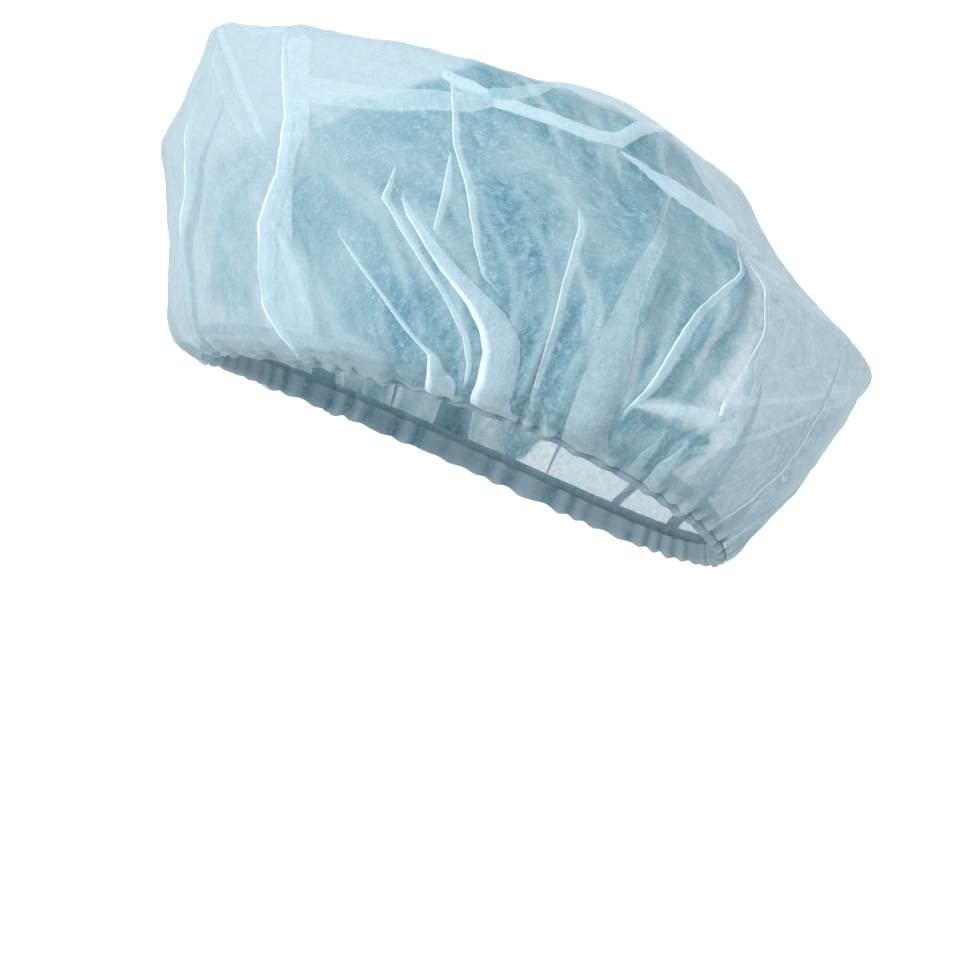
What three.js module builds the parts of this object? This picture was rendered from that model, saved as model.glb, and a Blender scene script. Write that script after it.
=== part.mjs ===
import * as THREE from "three";

// A disposable bouffant hair cap in the shape it takes when worn: a thin cloth crown gathered into a hem
// casing that holds a flat elastic loop. Millimetres, +Z up, the front faces -Y, the wearer's left is +X.
// The origin is the centre of the head opening.

// Reaches of the crown from the origin
const FRONT = 112;
const BACK = 161;
const HALF_WIDTH = 91;
const TOP = 154;
const DROP = 38;
const HEIGHT = TOP + DROP;

// Cloth and clearances
const WALL = 1;
const GAP = 0.5;

// Hem casing: a channel that is open upwards, measured from the hem line
const CASING_OUTER_TOP = 5;
const CASING_INNER_TOP = 3;
const CASING_BOTTOM = -4;
const CHANNEL_WIDTH = 2.2;

// Elastic: a flat band standing in the channel
const ELASTIC_THICK = 1.2;
const ELASTIC_WIDE = 5;

// Gathers that the elastic draws into the cloth
const GATHERS = 20;
const GATHER_RISE = 1.2;
const GATHER_TOP_LEVEL = 3;
const CASING_GATHER_RISE = 0.7;
const CASING_SCALLOP = 0.8;

// Facets
const COLUMNS = 80;
const ROW_LEVELS = [
  0, 0.35, 0.7, 1, 1.5, 2, 2.7, 3.4, 4.2, 5, 5.6, 6.3, 7, 7.6, 8, 8.7, 9.5, 10.3, 11, 11.6,
];
const POLE_LEVEL = 12;
const FOLD_STEPS = 8;
const PROBE = 1e-3;

// One row for each ring of the crown, from the hem up to the pole. front and back are shares of FRONT and
// BACK, frontUp and backUp are shares of HEIGHT above the lowest point, width is a share of HALF_WIDTH, arch
// lifts the two sides in millimetres, and peak and tip turn the round front and back into corners.
const RINGS = [
  { front: 0.866, frontUp: 0.396, back: 0.603, backUp: 0.000, width: 0.835, arch: 9, peak: 0, tip: 0 },
  { front: 0.929, frontUp: 0.401, back: 0.659, backUp: 0.037, width: 0.900, arch: 10, peak: 0, tip: 0 },
  { front: 0.964, frontUp: 0.469, back: 0.755, backUp: 0.103, width: 0.945, arch: 11, peak: 0, tip: 0 },
  { front: 0.964, frontUp: 0.573, back: 0.850, backUp: 0.187, width: 0.978, arch: 10, peak: 0, tip: 0.10 },
  { front: 0.970, frontUp: 0.677, back: 0.930, backUp: 0.266, width: 1.000, arch: 8, peak: 0, tip: 0.20 },
  { front: 0.988, frontUp: 0.760, back: 0.992, backUp: 0.339, width: 1.000, arch: 5, peak: 0, tip: 0.55 },
  { front: 0.932, frontUp: 0.839, back: 0.868, backUp: 0.427, width: 0.967, arch: 4, peak: 0.10, tip: 0.40 },
  { front: 0.878, frontUp: 0.917, back: 0.772, backUp: 0.521, width: 0.910, arch: 4, peak: 0.25, tip: 0.20 },
  { front: 0.844, frontUp: 0.980, back: 0.675, backUp: 0.632, width: 0.820, arch: 4, peak: 0.50, tip: 0.10 },
  { front: 0.650, frontUp: 0.970, back: 0.545, backUp: 0.742, width: 0.660, arch: 1, peak: 0.30, tip: 0 },
  { front: 0.416, frontUp: 0.936, back: 0.409, backUp: 0.838, width: 0.420, arch: -1, peak: 0.10, tip: 0 },
  { front: 0.114, frontUp: 0.912, back: 0.246, backUp: 0.893, width: 0.140, arch: -1, peak: 0, tip: 0 },
  { front: -0.107, frontUp: 0.896, back: 0.075, backUp: 0.896, width: 0.000, arch: 0, peak: 0, tip: 0 },
];

// One row for each main fold or dent: a line over the crown between two places, each an angle from the
// front towards the wearer's left in degrees and a ring level, with the half width of the fold and how far
// it stands out (or is pressed in, when negative), in millimetres.
const FOLDS = [
  { name: "front_left", angle: 27, level: 7.8, toAngle: 37, toLevel: 5.2, width: 9, rise: 2.2 },
  { name: "front_left_low", angle: 37, level: 5.2, toAngle: 33, toLevel: 1.6, width: 9, rise: 2.4 },
  { name: "brow_slant", angle: 5, level: 7.7, toAngle: 32, toLevel: 5, width: 9, rise: 1.6 },
  { name: "temple_dent", angle: 56, level: 4.4, toAngle: 72, toLevel: 1.4, width: 8, rise: -2.0 },
  { name: "temple_pleat", angle: 60, level: 4.2, toAngle: 79, toLevel: 0.8, width: 9, rise: 2.8 },
  { name: "ear_pleat", angle: 97, level: 5.6, toAngle: 98, toLevel: 0.8, width: 9, rise: 2.8 },
  { name: "ear_dent", angle: 88, level: 4.6, toAngle: 88, toLevel: 1.2, width: 8, rise: -1.6 },
  { name: "nape_crease", angle: 120, level: 6.1, toAngle: 104, toLevel: 2.0, width: 8, rise: 2.0 },
  { name: "over_ear_band", angle: 63, level: 7.6, toAngle: 95, toLevel: 7.3, width: 8, rise: 1.8 },
  { name: "over_ear_rise", angle: 95, level: 7.3, toAngle: 122, toLevel: 8.6, width: 8, rise: 1.8 },
  { name: "rear_flap", angle: 98, level: 7.1, toAngle: 122, toLevel: 6.4, width: 9, rise: 2.0 },
  { name: "low_flap", angle: 104, level: 1.8, toAngle: 123, toLevel: 2.2, width: 8, rise: 2.2 },
  { name: "rear_left", angle: 128, level: 8.2, toAngle: 150, toLevel: 4.6, width: 10, rise: 2.0 },
  { name: "rear_left_low", angle: 152, level: 4.2, toAngle: 146, toLevel: 0.9, width: 9, rise: 2.0 },
  { name: "rear_middle", angle: 184, level: 8.0, toAngle: 178, toLevel: 5.6, width: 10, rise: 1.8 },
  { name: "rear_right", angle: 222, level: 7.6, toAngle: 205, toLevel: 4.4, width: 10, rise: 2.0 },
  { name: "rear_right_low", angle: 214, level: 3.8, toAngle: 222, toLevel: 0.9, width: 9, rise: 2.2 },
  { name: "right_crease", angle: 243, level: 6.6, toAngle: 252, toLevel: 1.6, width: 9, rise: 2.4 },
  { name: "right_pleat", angle: 262, level: 5.2, toAngle: 270, toLevel: 0.8, width: 9, rise: 2.8 },
  { name: "right_dent", angle: 281, level: 5.0, toAngle: 282, toLevel: 1.4, width: 9, rise: -1.8 },
  { name: "right_temple", angle: 305, level: 6.8, toAngle: 296, toLevel: 1.2, width: 9, rise: 2.4 },
  { name: "right_over_ear", angle: 296, level: 7.6, toAngle: 250, toLevel: 7.9, width: 9, rise: 1.8 },
  { name: "brow_right", angle: 340, level: 6.9, toAngle: 322, toLevel: 2.0, width: 10, rise: 2.2 },
  { name: "brow_middle", angle: 3, level: 4.8, toAngle: 8, toLevel: 1.8, width: 9, rise: 1.6 },
  { name: "top_left", angle: 40, level: 8.2, toAngle: 62, toLevel: 10.6, width: 9, rise: 1.6 },
  { name: "top_right", angle: 322, level: 8.2, toAngle: 290, toLevel: 10.4, width: 9, rise: 1.6 },
  { name: "top_rear", angle: 150, level: 8.4, toAngle: 200, toLevel: 10.6, width: 9, rise: 1.8 },
];

const smoothStep = (low, high, value) => THREE.MathUtils.smoothstep(value, low, high);

// Slope of a curve through equally spaced values that never overshoots them: the harmonic mean of the two
// neighbouring steps, or flat where they turn.
function steadySlope(before, here, after) {
  const rise = here - before;
  const fall = after - here;
  return rise * fall > 0 ? (2 * rise * fall) / (rise + fall) : 0;
}

// The named column of the ring table at any level between the rings, as a cubic with steady slopes.
function ringValue(column, level) {
  const last = RINGS.length - 1;
  const low = Math.min(Math.floor(level), last - 1);
  const share = level - low;
  const value = (row) => {
    if (row < 0) return 2 * RINGS[0][column] - RINGS[1][column];
    if (row > last) return 2 * RINGS[last][column] - RINGS[last - 1][column];
    return RINGS[row][column];
  };
  const startSlope = steadySlope(value(low - 1), value(low), value(low + 1));
  const endSlope = steadySlope(value(low), value(low + 1), value(low + 2));
  const square = share * share;
  const cube = square * share;
  return (
    value(low) * (2 * cube - 3 * square + 1) +
    startSlope * (cube - 2 * square + share) +
    value(low + 1) * (3 * square - 2 * cube) +
    endSlope * (cube - square)
  );
}

// A point of the smooth form. The ring at a level is an ellipse between its front and back, tilted from one
// height to the other; a corner share bends the ellipse towards a straight-sided point.
function formPoint(angle, level) {
  const cosine = Math.cos(angle);
  const sine = Math.sin(angle);
  const corner = ringValue(cosine > 0 ? "peak" : "tip", level);
  const straight = 1 - (2 / Math.PI) * Math.acos(THREE.MathUtils.clamp(cosine, -1, 1));
  const along = THREE.MathUtils.lerp(cosine, straight, corner);
  const front = -FRONT * ringValue("front", level);
  const back = BACK * ringValue("back", level);
  const frontHeight = HEIGHT * ringValue("frontUp", level) - DROP;
  const backHeight = HEIGHT * ringValue("backUp", level) - DROP;
  return new THREE.Vector3(
    HALF_WIDTH * ringValue("width", level) * sine,
    (front + back) / 2 + ((front - back) / 2) * along,
    (frontHeight + backHeight) / 2 + ((frontHeight - backHeight) / 2) * along +
      ringValue("arch", level) * sine * sine,
  );
}

// The hem line's own frame at an angle: its point, the upward direction square to the line, and the
// outward direction square to both.
function hemFrame(angle) {
  const point = formPoint(angle, 0);
  const tangent = formPoint(angle + PROBE, 0).sub(formPoint(angle - PROBE, 0)).normalize();
  const up = new THREE.Vector3(0, 0, 1).addScaledVector(tangent, -tangent.z).normalize();
  const out = tangent.clone().cross(up);
  return { point, up, out };
}

function hemPlace(frame, outward, upward) {
  return frame.point.clone().addScaledVector(frame.out, outward).addScaledVector(frame.up, upward);
}

function columnAngle(column) {
  return (2 * Math.PI * column) / COLUMNS;
}

// Folds as lines of places on the smooth form, ready for measuring distances.
const foldLines = FOLDS.map((fold) => {
  const places = [];
  for (let step = 0; step <= FOLD_STEPS; step += 1) {
    const share = step / FOLD_STEPS;
    const angle = THREE.MathUtils.degToRad(THREE.MathUtils.lerp(fold.angle, fold.toAngle, share));
    places.push(formPoint(angle, THREE.MathUtils.lerp(fold.level, fold.toLevel, share)));
  }
  return { ...fold, places };
});

// How far the cloth stands off the smooth form at a place: each fold is a tent across its line, fading out
// over its own width at both ends; the strongest ridge and the deepest dent count.
function reliefAt(place) {
  const segment = new THREE.Line3();
  const nearest = new THREE.Vector3();
  let ridge = 0;
  let dent = 0;
  for (const fold of foldLines) {
    for (let step = 0; step < FOLD_STEPS; step += 1) {
      segment.set(fold.places[step], fold.places[step + 1]);
      segment.closestPointToPoint(place, true, nearest);
      const height = fold.rise * Math.max(0, 1 - nearest.distanceTo(place) / fold.width);
      ridge = Math.max(ridge, height);
      dent = Math.min(dent, height);
    }
  }
  return ridge + dent;
}

// Gathers: a wave round the cloth that starts at nothing on the rim, is full at the first ring and has
// faded by GATHER_TOP_LEVEL.
function gatherAt(angle, level) {
  const strength = Math.min(level, 1) * (1 - smoothStep(1, GATHER_TOP_LEVEL, level));
  return GATHER_RISE * strength * Math.cos(GATHERS * angle);
}

function formNormal(angle, level) {
  const round = formPoint(angle + PROBE, level).sub(formPoint(angle - PROBE, level));
  const upward = formPoint(angle, level + PROBE).sub(formPoint(angle, level - PROBE));
  return round.cross(upward).normalize();
}

// A point of the crown's outer face. Below the first ring the form is lifted so that the rim stands just
// above the hem casing and the cloth bellies out from there.
function crownPoint(column, level) {
  const angle = columnAngle(column);
  const smooth = formPoint(angle, level);
  const rimLift = (CASING_OUTER_TOP + GAP) * (1 - Math.min(level, 1));
  const standOff = reliefAt(smooth) * Math.min(level, 1) + gatherAt(angle, level);
  const point = smooth.addScaledVector(formNormal(angle, Math.max(level, PROBE)), standOff);
  return point.addScaledVector(hemFrame(angle).up, rimLift);
}

// Moves every point of a grid of rings inwards by one wall, square to the faces round it.
function innerRings(rings, pole) {
  return rings.map((ring, row) =>
    ring.map((point, column) => {
      const before = ring[(column + COLUMNS - 1) % COLUMNS];
      const after = ring[(column + 1) % COLUMNS];
      const below = row > 0 ? rings[row - 1][column] : point;
      const above = row < rings.length - 1 ? rings[row + 1][column] : pole;
      const outward = after.clone().sub(before).cross(above.clone().sub(below)).normalize();
      return point.clone().addScaledVector(outward, -WALL);
    }),
  );
}

// A closed mesh from points and triangles.
function solidGeometry(points, triangles) {
  const geometry = new THREE.BufferGeometry();
  geometry.setFromPoints(points);
  geometry.setIndex(triangles);
  geometry.computeVertexNormals();
  return geometry;
}

// Two triangles for the four corners of a facet, counter-clockwise seen from outside.
function addFacet(triangles, lowLeft, lowRight, highRight, highLeft) {
  triangles.push(lowLeft, lowRight, highRight, lowLeft, highRight, highLeft);
}

// The crown: an outer and an inner skin of rings, each closed by a fan at its pole, joined round the rim.
function crownGeometry() {
  const outer = ROW_LEVELS.map((level) =>
    Array.from({ length: COLUMNS }, (_, column) => crownPoint(column, level)),
  );
  const outerPole = formPoint(0, POLE_LEVEL);
  const inner = innerRings(outer, outerPole);
  const innerPole = outerPole.clone().setZ(outerPole.z - WALL);

  const rows = ROW_LEVELS.length;
  const skinSize = rows * COLUMNS;
  const points = [...outer.flat(), ...inner.flat(), outerPole, innerPole];
  const outerPoleIndex = 2 * skinSize;
  const innerPoleIndex = outerPoleIndex + 1;
  const triangles = [];
  for (let column = 0; column < COLUMNS; column += 1) {
    const next = (column + 1) % COLUMNS;
    for (let row = 0; row < rows - 1; row += 1) {
      const low = row * COLUMNS;
      const high = low + COLUMNS;
      addFacet(triangles, low + column, low + next, high + next, high + column);
      addFacet(
        triangles,
        skinSize + low + next,
        skinSize + low + column,
        skinSize + high + column,
        skinSize + high + next,
      );
    }
    const top = (rows - 1) * COLUMNS;
    triangles.push(top + column, top + next, outerPoleIndex);
    triangles.push(skinSize + top + next, skinSize + top + column, innerPoleIndex);
    addFacet(triangles, skinSize + column, skinSize + next, next, column);
  }
  return solidGeometry(points, triangles);
}

// Carries a closed section round the hem line. section(angle) gives its corners as [outward, upward] pairs,
// counter-clockwise when seen with outward to the right and upward up.
function hemSweep(section) {
  const points = [];
  const triangles = [];
  const corners = section(0).length;
  for (let column = 0; column < COLUMNS; column += 1) {
    const angle = columnAngle(column);
    const frame = hemFrame(angle);
    for (const [outward, upward] of section(angle)) points.push(hemPlace(frame, outward, upward));
    const here = column * corners;
    const there = ((column + 1) % COLUMNS) * corners;
    for (let corner = 0; corner < corners; corner += 1) {
      const next = (corner + 1) % corners;
      addFacet(triangles, here + corner, there + corner, there + next, here + next);
    }
  }
  return solidGeometry(points, triangles);
}

// The casing's section: the outer leg, the folded bottom and the inner leg. Gathers swell the outside only,
// so the channel stays even.
function casingSection(angle) {
  const swell = (CASING_GATHER_RISE * (1 + Math.cos(GATHERS * angle))) / 2;
  const scallop = (CASING_SCALLOP * (1 + Math.sin(GATHERS * angle))) / 2;
  const channelFloor = CASING_BOTTOM + WALL;
  const innerFace = -(WALL + CHANNEL_WIDTH);
  return [
    [innerFace - WALL, CASING_INNER_TOP],
    [innerFace - WALL, CASING_BOTTOM + WALL / 2 - scallop],
    [innerFace, CASING_BOTTOM - scallop],
    [-WALL / 2, CASING_BOTTOM - scallop],
    [swell, CASING_BOTTOM + WALL - scallop],
    [swell, (CASING_BOTTOM + CASING_OUTER_TOP) / 2],
    [0, CASING_OUTER_TOP],
    [-WALL, CASING_OUTER_TOP],
    [-WALL, channelFloor],
    [innerFace, channelFloor],
    [innerFace, CASING_INNER_TOP],
  ];
}

// The elastic's section: a flat strip in the middle of the channel.
function elasticSection() {
  const middle = -(WALL + CHANNEL_WIDTH / 2);
  const outward = middle + ELASTIC_THICK / 2;
  const inward = middle - ELASTIC_THICK / 2;
  const high = ELASTIC_WIDE / 2;
  return [
    [inward, -high],
    [outward, -high],
    [outward, high],
    [inward, high],
  ];
}

const nonwoven = new THREE.MeshStandardMaterial({ color: 0xa9cfdc, roughness: 0.85, metalness: 0 });
const hemCloth = new THREE.MeshStandardMaterial({ color: 0x8fc0d0, roughness: 0.85, metalness: 0 });
const rubber = new THREE.MeshStandardMaterial({ color: 0xe6eef0, roughness: 0.6, metalness: 0 });

function namedMesh(name, geometry, material) {
  const mesh = new THREE.Mesh(geometry, material);
  mesh.name = name;
  return mesh;
}

const cap = new THREE.Group();
cap.add(
  namedMesh("crown", crownGeometry(), nonwoven),
  namedMesh("hem_casing", hemSweep(casingSection), hemCloth),
  namedMesh("elastic_band", hemSweep(elasticSection), rubber),
);

export default cap;
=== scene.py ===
"""Looks of a disposable bouffant cap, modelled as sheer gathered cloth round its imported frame.

The crown is one thin sheet worked out on a grid of columns (round the head) and rows (hem to pole). Pleats
are real laps of the cloth over itself: their edges are columns of the grid, so they stay crisp.
"""

import logging
import math
from dataclasses import dataclass
from enum import Enum

import bpy
import numpy as np
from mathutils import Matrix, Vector


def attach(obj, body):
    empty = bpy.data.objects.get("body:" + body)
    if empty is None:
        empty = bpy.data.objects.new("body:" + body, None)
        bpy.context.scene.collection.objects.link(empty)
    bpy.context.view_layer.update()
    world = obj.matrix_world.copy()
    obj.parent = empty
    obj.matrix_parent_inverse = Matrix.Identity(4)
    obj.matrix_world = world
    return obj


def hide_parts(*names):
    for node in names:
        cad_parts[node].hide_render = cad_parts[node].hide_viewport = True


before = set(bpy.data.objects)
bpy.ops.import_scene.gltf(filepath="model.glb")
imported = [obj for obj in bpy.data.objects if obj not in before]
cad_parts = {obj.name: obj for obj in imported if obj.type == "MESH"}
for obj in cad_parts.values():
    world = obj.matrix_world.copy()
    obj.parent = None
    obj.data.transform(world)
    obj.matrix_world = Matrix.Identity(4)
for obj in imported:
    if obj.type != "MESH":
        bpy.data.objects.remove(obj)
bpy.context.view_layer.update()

MM = 0.001
ROOT = "root"
FULL_TURN = 2 * math.pi
log = logging.getLogger("bouffant_cap")

Path = tuple[tuple[float, float], ...]


class LapSide(Enum):
    """Which border of a pleat is the folded edge that shows."""

    LEFT = "left"
    RIGHT = "right"


# ---------------------------------------------------------------- numbers that run along or round the cloth


def smooth_step(low: float, high: float, value: np.ndarray) -> np.ndarray:
    """Eases from 0 at low to 1 at high with flat ends.

    Args:
        low: value where the step starts.
        high: value where the step is complete.
        value: any array.

    Returns:
        An array of the same shape, 3t^2 - 2t^3 of the clipped share t.
    """
    share = np.clip((value - low) / (high - low), 0, 1)
    return share * share * (3 - 2 * share)


def steady_cubic(values: np.ndarray, at: np.ndarray) -> np.ndarray:
    """Cubic curves through rows of values at 0, 1, 2 and so on that never overshoot them.

    The slope at a row is the harmonic mean of the two steps beside it, or flat where they turn.

    Args:
        values: array of rows by columns, one curve for each column.
        at: places along the rows.

    Returns:
        Array of the shape of at with the columns added as the last axis.
    """
    padded = np.vstack([2 * values[0] - values[1], values, 2 * values[-1] - values[-2]])
    steps = np.diff(padded, axis=0)
    before, after = steps[:-1], steps[1:]
    product = before * after
    total = np.where(product > 0, before + after, 1)
    slopes = np.where(product > 0, 2 * product / total, 0)
    low = np.clip(np.floor(at).astype(int), 0, len(values) - 2)
    share = (at - low)[..., None]
    square, cube = share**2, share**3
    return (
        values[low] * (2 * cube - 3 * square + 1)
        + slopes[low] * (cube - 2 * square + share)
        + values[low + 1] * (3 * square - 2 * cube)
        + slopes[low + 1] * (cube - square)
    )


def along_path(path: Path, level: np.ndarray) -> np.ndarray:
    """Reads a short table of (level, value) pairs at any level, with straight runs between them.

    Args:
        path: the pairs, in any order.
        level: levels to read at.

    Returns:
        The values, held at the ends.
    """
    levels, values = np.array(sorted(path)).T
    return np.interp(level, levels, values)


@dataclass(frozen=True)
class ClothNoise:
    """Smooth random relief that closes round the cap: a lattice of seeded heights, eased between its knots."""

    seed: int
    round_cells: int
    up_cells: float

    def at(self, angle: np.ndarray, level: np.ndarray) -> np.ndarray:
        """Reads the relief.

        Args:
            angle: radians round the cap.
            level: ring level.

        Returns:
            Heights between -1 and 1.
        """
        up = level * self.up_cells
        rows = int(np.ceil(np.max(up))) + 2
        lattice = np.random.default_rng(self.seed).uniform(-1, 1, (rows, self.round_cells))
        across = np.mod(angle / FULL_TURN, 1) * self.round_cells
        left = np.floor(across).astype(int) % self.round_cells
        right = (left + 1) % self.round_cells
        low = np.clip(np.floor(up).astype(int), 0, rows - 2)
        share_across = smooth_step(0, 1, across - np.floor(across))
        share_up = smooth_step(0, 1, up - low)
        bottom = lattice[low, left] * (1 - share_across) + lattice[low, right] * share_across
        top = lattice[low + 1, left] * (1 - share_across) + lattice[low + 1, right] * share_across
        return bottom * (1 - share_up) + top * share_up

    def creased(self, angle: np.ndarray, level: np.ndarray) -> np.ndarray:
        """Sharp-ridged relief between 0 and 1: one minus the size of the smooth relief."""
        return 1 - np.abs(self.at(angle, level))


# ---------------------------------------------------------------- the smooth form under the folds


@dataclass
class RingForm:
    """The cap's smooth form: tilted rings from the hem (level 0) to the pole (level 12).

    A ring is an ellipse between a front and a back point at their own heights. Angle 0 is the forehead and
    the angle grows towards the wearer's left. A corner share bends the ellipse towards a straight point.
    """

    front: float = 112 * MM
    back: float = 161 * MM
    half_width: float = 91 * MM
    drop: float = 38 * MM
    height: float = 192 * MM
    probe: float = 1e-3
    row_crowding: float = 1.22
    # front, front height, back, back height, width (shares), arch in mm, corner share of front and of back
    rings: tuple[tuple[float, ...], ...] = (
        (0.866, 0.396, 0.603, 0.000, 0.835, 9, 0.00, 0.00),
        (0.929, 0.401, 0.659, 0.037, 0.900, 10, 0.00, 0.00),
        (0.964, 0.469, 0.755, 0.103, 0.945, 11, 0.00, 0.00),
        (0.964, 0.573, 0.850, 0.187, 0.978, 10, 0.00, 0.10),
        (0.970, 0.677, 0.930, 0.266, 1.000, 8, 0.00, 0.20),
        (0.988, 0.760, 0.992, 0.339, 1.000, 5, 0.00, 0.55),
        (0.932, 0.839, 0.868, 0.427, 0.967, 4, 0.10, 0.40),
        (0.878, 0.917, 0.772, 0.521, 0.910, 4, 0.25, 0.20),
        (0.844, 0.980, 0.675, 0.632, 0.820, 4, 0.50, 0.10),
        (0.650, 0.970, 0.545, 0.742, 0.660, 1, 0.30, 0.00),
        (0.416, 0.936, 0.409, 0.838, 0.420, -1, 0.10, 0.00),
        (0.114, 0.912, 0.246, 0.893, 0.140, -1, 0.00, 0.00),
        (-0.107, 0.896, 0.075, 0.896, 0.000, 0, 0.00, 0.00),
    )

    @property
    def top_level(self) -> int:
        """Level of the pole."""
        return len(self.rings) - 1

    def point(self, angle: np.ndarray, level: np.ndarray) -> np.ndarray:
        """Places on the form.

        y and z run from the front to the back point by the share (cos angle, bent towards a triangle wave),
        x is the width times sin angle, and the sides are lifted by the arch times sin^2.

        Args:
            angle: radians round the cap.
            level: ring level, the same shape.

        Returns:
            Points in metres, with x, y, z as the last axis.
        """
        angle, level = np.broadcast_arrays(angle, level)
        ring = steady_cubic(np.array(self.rings, float), level)
        front, front_up, back, back_up, width, arch, peak, tip = np.moveaxis(ring, -1, 0)
        cosine, sine = np.cos(angle), np.sin(angle)
        straight = 1 - 2 / math.pi * np.arccos(np.clip(cosine, -1, 1))
        corner = np.where(cosine > 0, peak, tip)
        along = cosine + (straight - cosine) * corner
        front_y, back_y = -self.front * front, self.back * back
        front_z = self.height * front_up - self.drop
        back_z = self.height * back_up - self.drop
        x = self.half_width * width * sine
        y = (front_y + back_y) / 2 + (front_y - back_y) / 2 * along
        z = (front_z + back_z) / 2 + (front_z - back_z) / 2 * along + arch * MM * sine**2
        return np.stack([x, y, z], axis=-1)

    def normal(self, angle: np.ndarray, level: np.ndarray) -> np.ndarray:
        """Outward unit normals, from differences a small probe to each side."""
        low = np.clip(level, self.probe, self.top_level - 3 * self.probe)
        round_step = self.point(angle + self.probe, low) - self.point(angle - self.probe, low)
        up_step = self.point(angle, low + self.probe) - self.point(angle, low - self.probe)
        return unit(np.cross(round_step, up_step))

    def hem_frame(self, angle: np.ndarray) -> tuple[np.ndarray, np.ndarray, np.ndarray]:
        """The hem line's own frame.

        Args:
            angle: radians round the cap.

        Returns:
            Points on the hem line, upward directions square to it, and outward directions square to both.
        """
        zero = np.zeros_like(angle)
        tangent = unit(self.point(angle + self.probe, zero) - self.point(angle - self.probe, zero))
        up = unit(np.array([0, 0, 1.0]) - tangent * tangent[..., 2:])
        return self.point(angle, zero), up, np.cross(tangent, up)

    def even_levels(self, rows: int) -> np.ndarray:
        """Levels of the grid's rows, closer together towards the hem.

        Args:
            rows: how many levels, the hem's and the pole's among them.

        Returns:
            The levels.
        """
        fine = np.linspace(0, self.top_level, 400)
        angle = np.linspace(0, FULL_TURN, 24, endpoint=False)
        rings = self.point(angle[None, :], np.repeat(fine[:, None], len(angle), axis=1))
        steps = np.linalg.norm(np.diff(rings, axis=0), axis=-1).mean(axis=1)
        length = np.concatenate([[0], np.cumsum(steps)])
        shares = np.linspace(0, 1, rows) ** self.row_crowding
        return np.interp(shares * length[-1], length, fine)


def unit(vectors: np.ndarray) -> np.ndarray:
    """Vectors scaled to length one."""
    size = np.linalg.norm(vectors, axis=-1, keepdims=True)
    return vectors / np.maximum(size, 1e-12)


# ---------------------------------------------------------------- folds


@dataclass(frozen=True)
class Pleat:
    """A lap of the cloth over itself that runs up the crown.

    left gives the left border and lap the lap's width, both in degrees at levels. Outside the levels of lap
    the cloth is single and left only says where the spare columns run.
    """

    name: str
    left: Path
    lap: Path
    side: LapSide = LapSide.LEFT
    rise_mm: float = 0.6
    fine: bool = False
    pale: float = 1.0

    @property
    def span(self) -> tuple[float, float]:
        """Lowest and highest level of the lap."""
        levels = [level for level, _ in self.lap]
        return min(levels), max(levels)


@dataclass(frozen=True)
class Band:
    """A strip of doubled cloth that lies across the crown: (angle, level, width in mm) along its middle."""

    name: str
    line: tuple[tuple[float, float, float], ...]
    rise_mm: float = 0.8
    pale: float = 1.0


@dataclass(frozen=True)
class Ridge:
    """A soft fold that stands out of the cloth, or a dent when its rise is negative."""

    start: tuple[float, float]
    end: tuple[float, float]
    half_width_mm: float
    rise_mm: float


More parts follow.
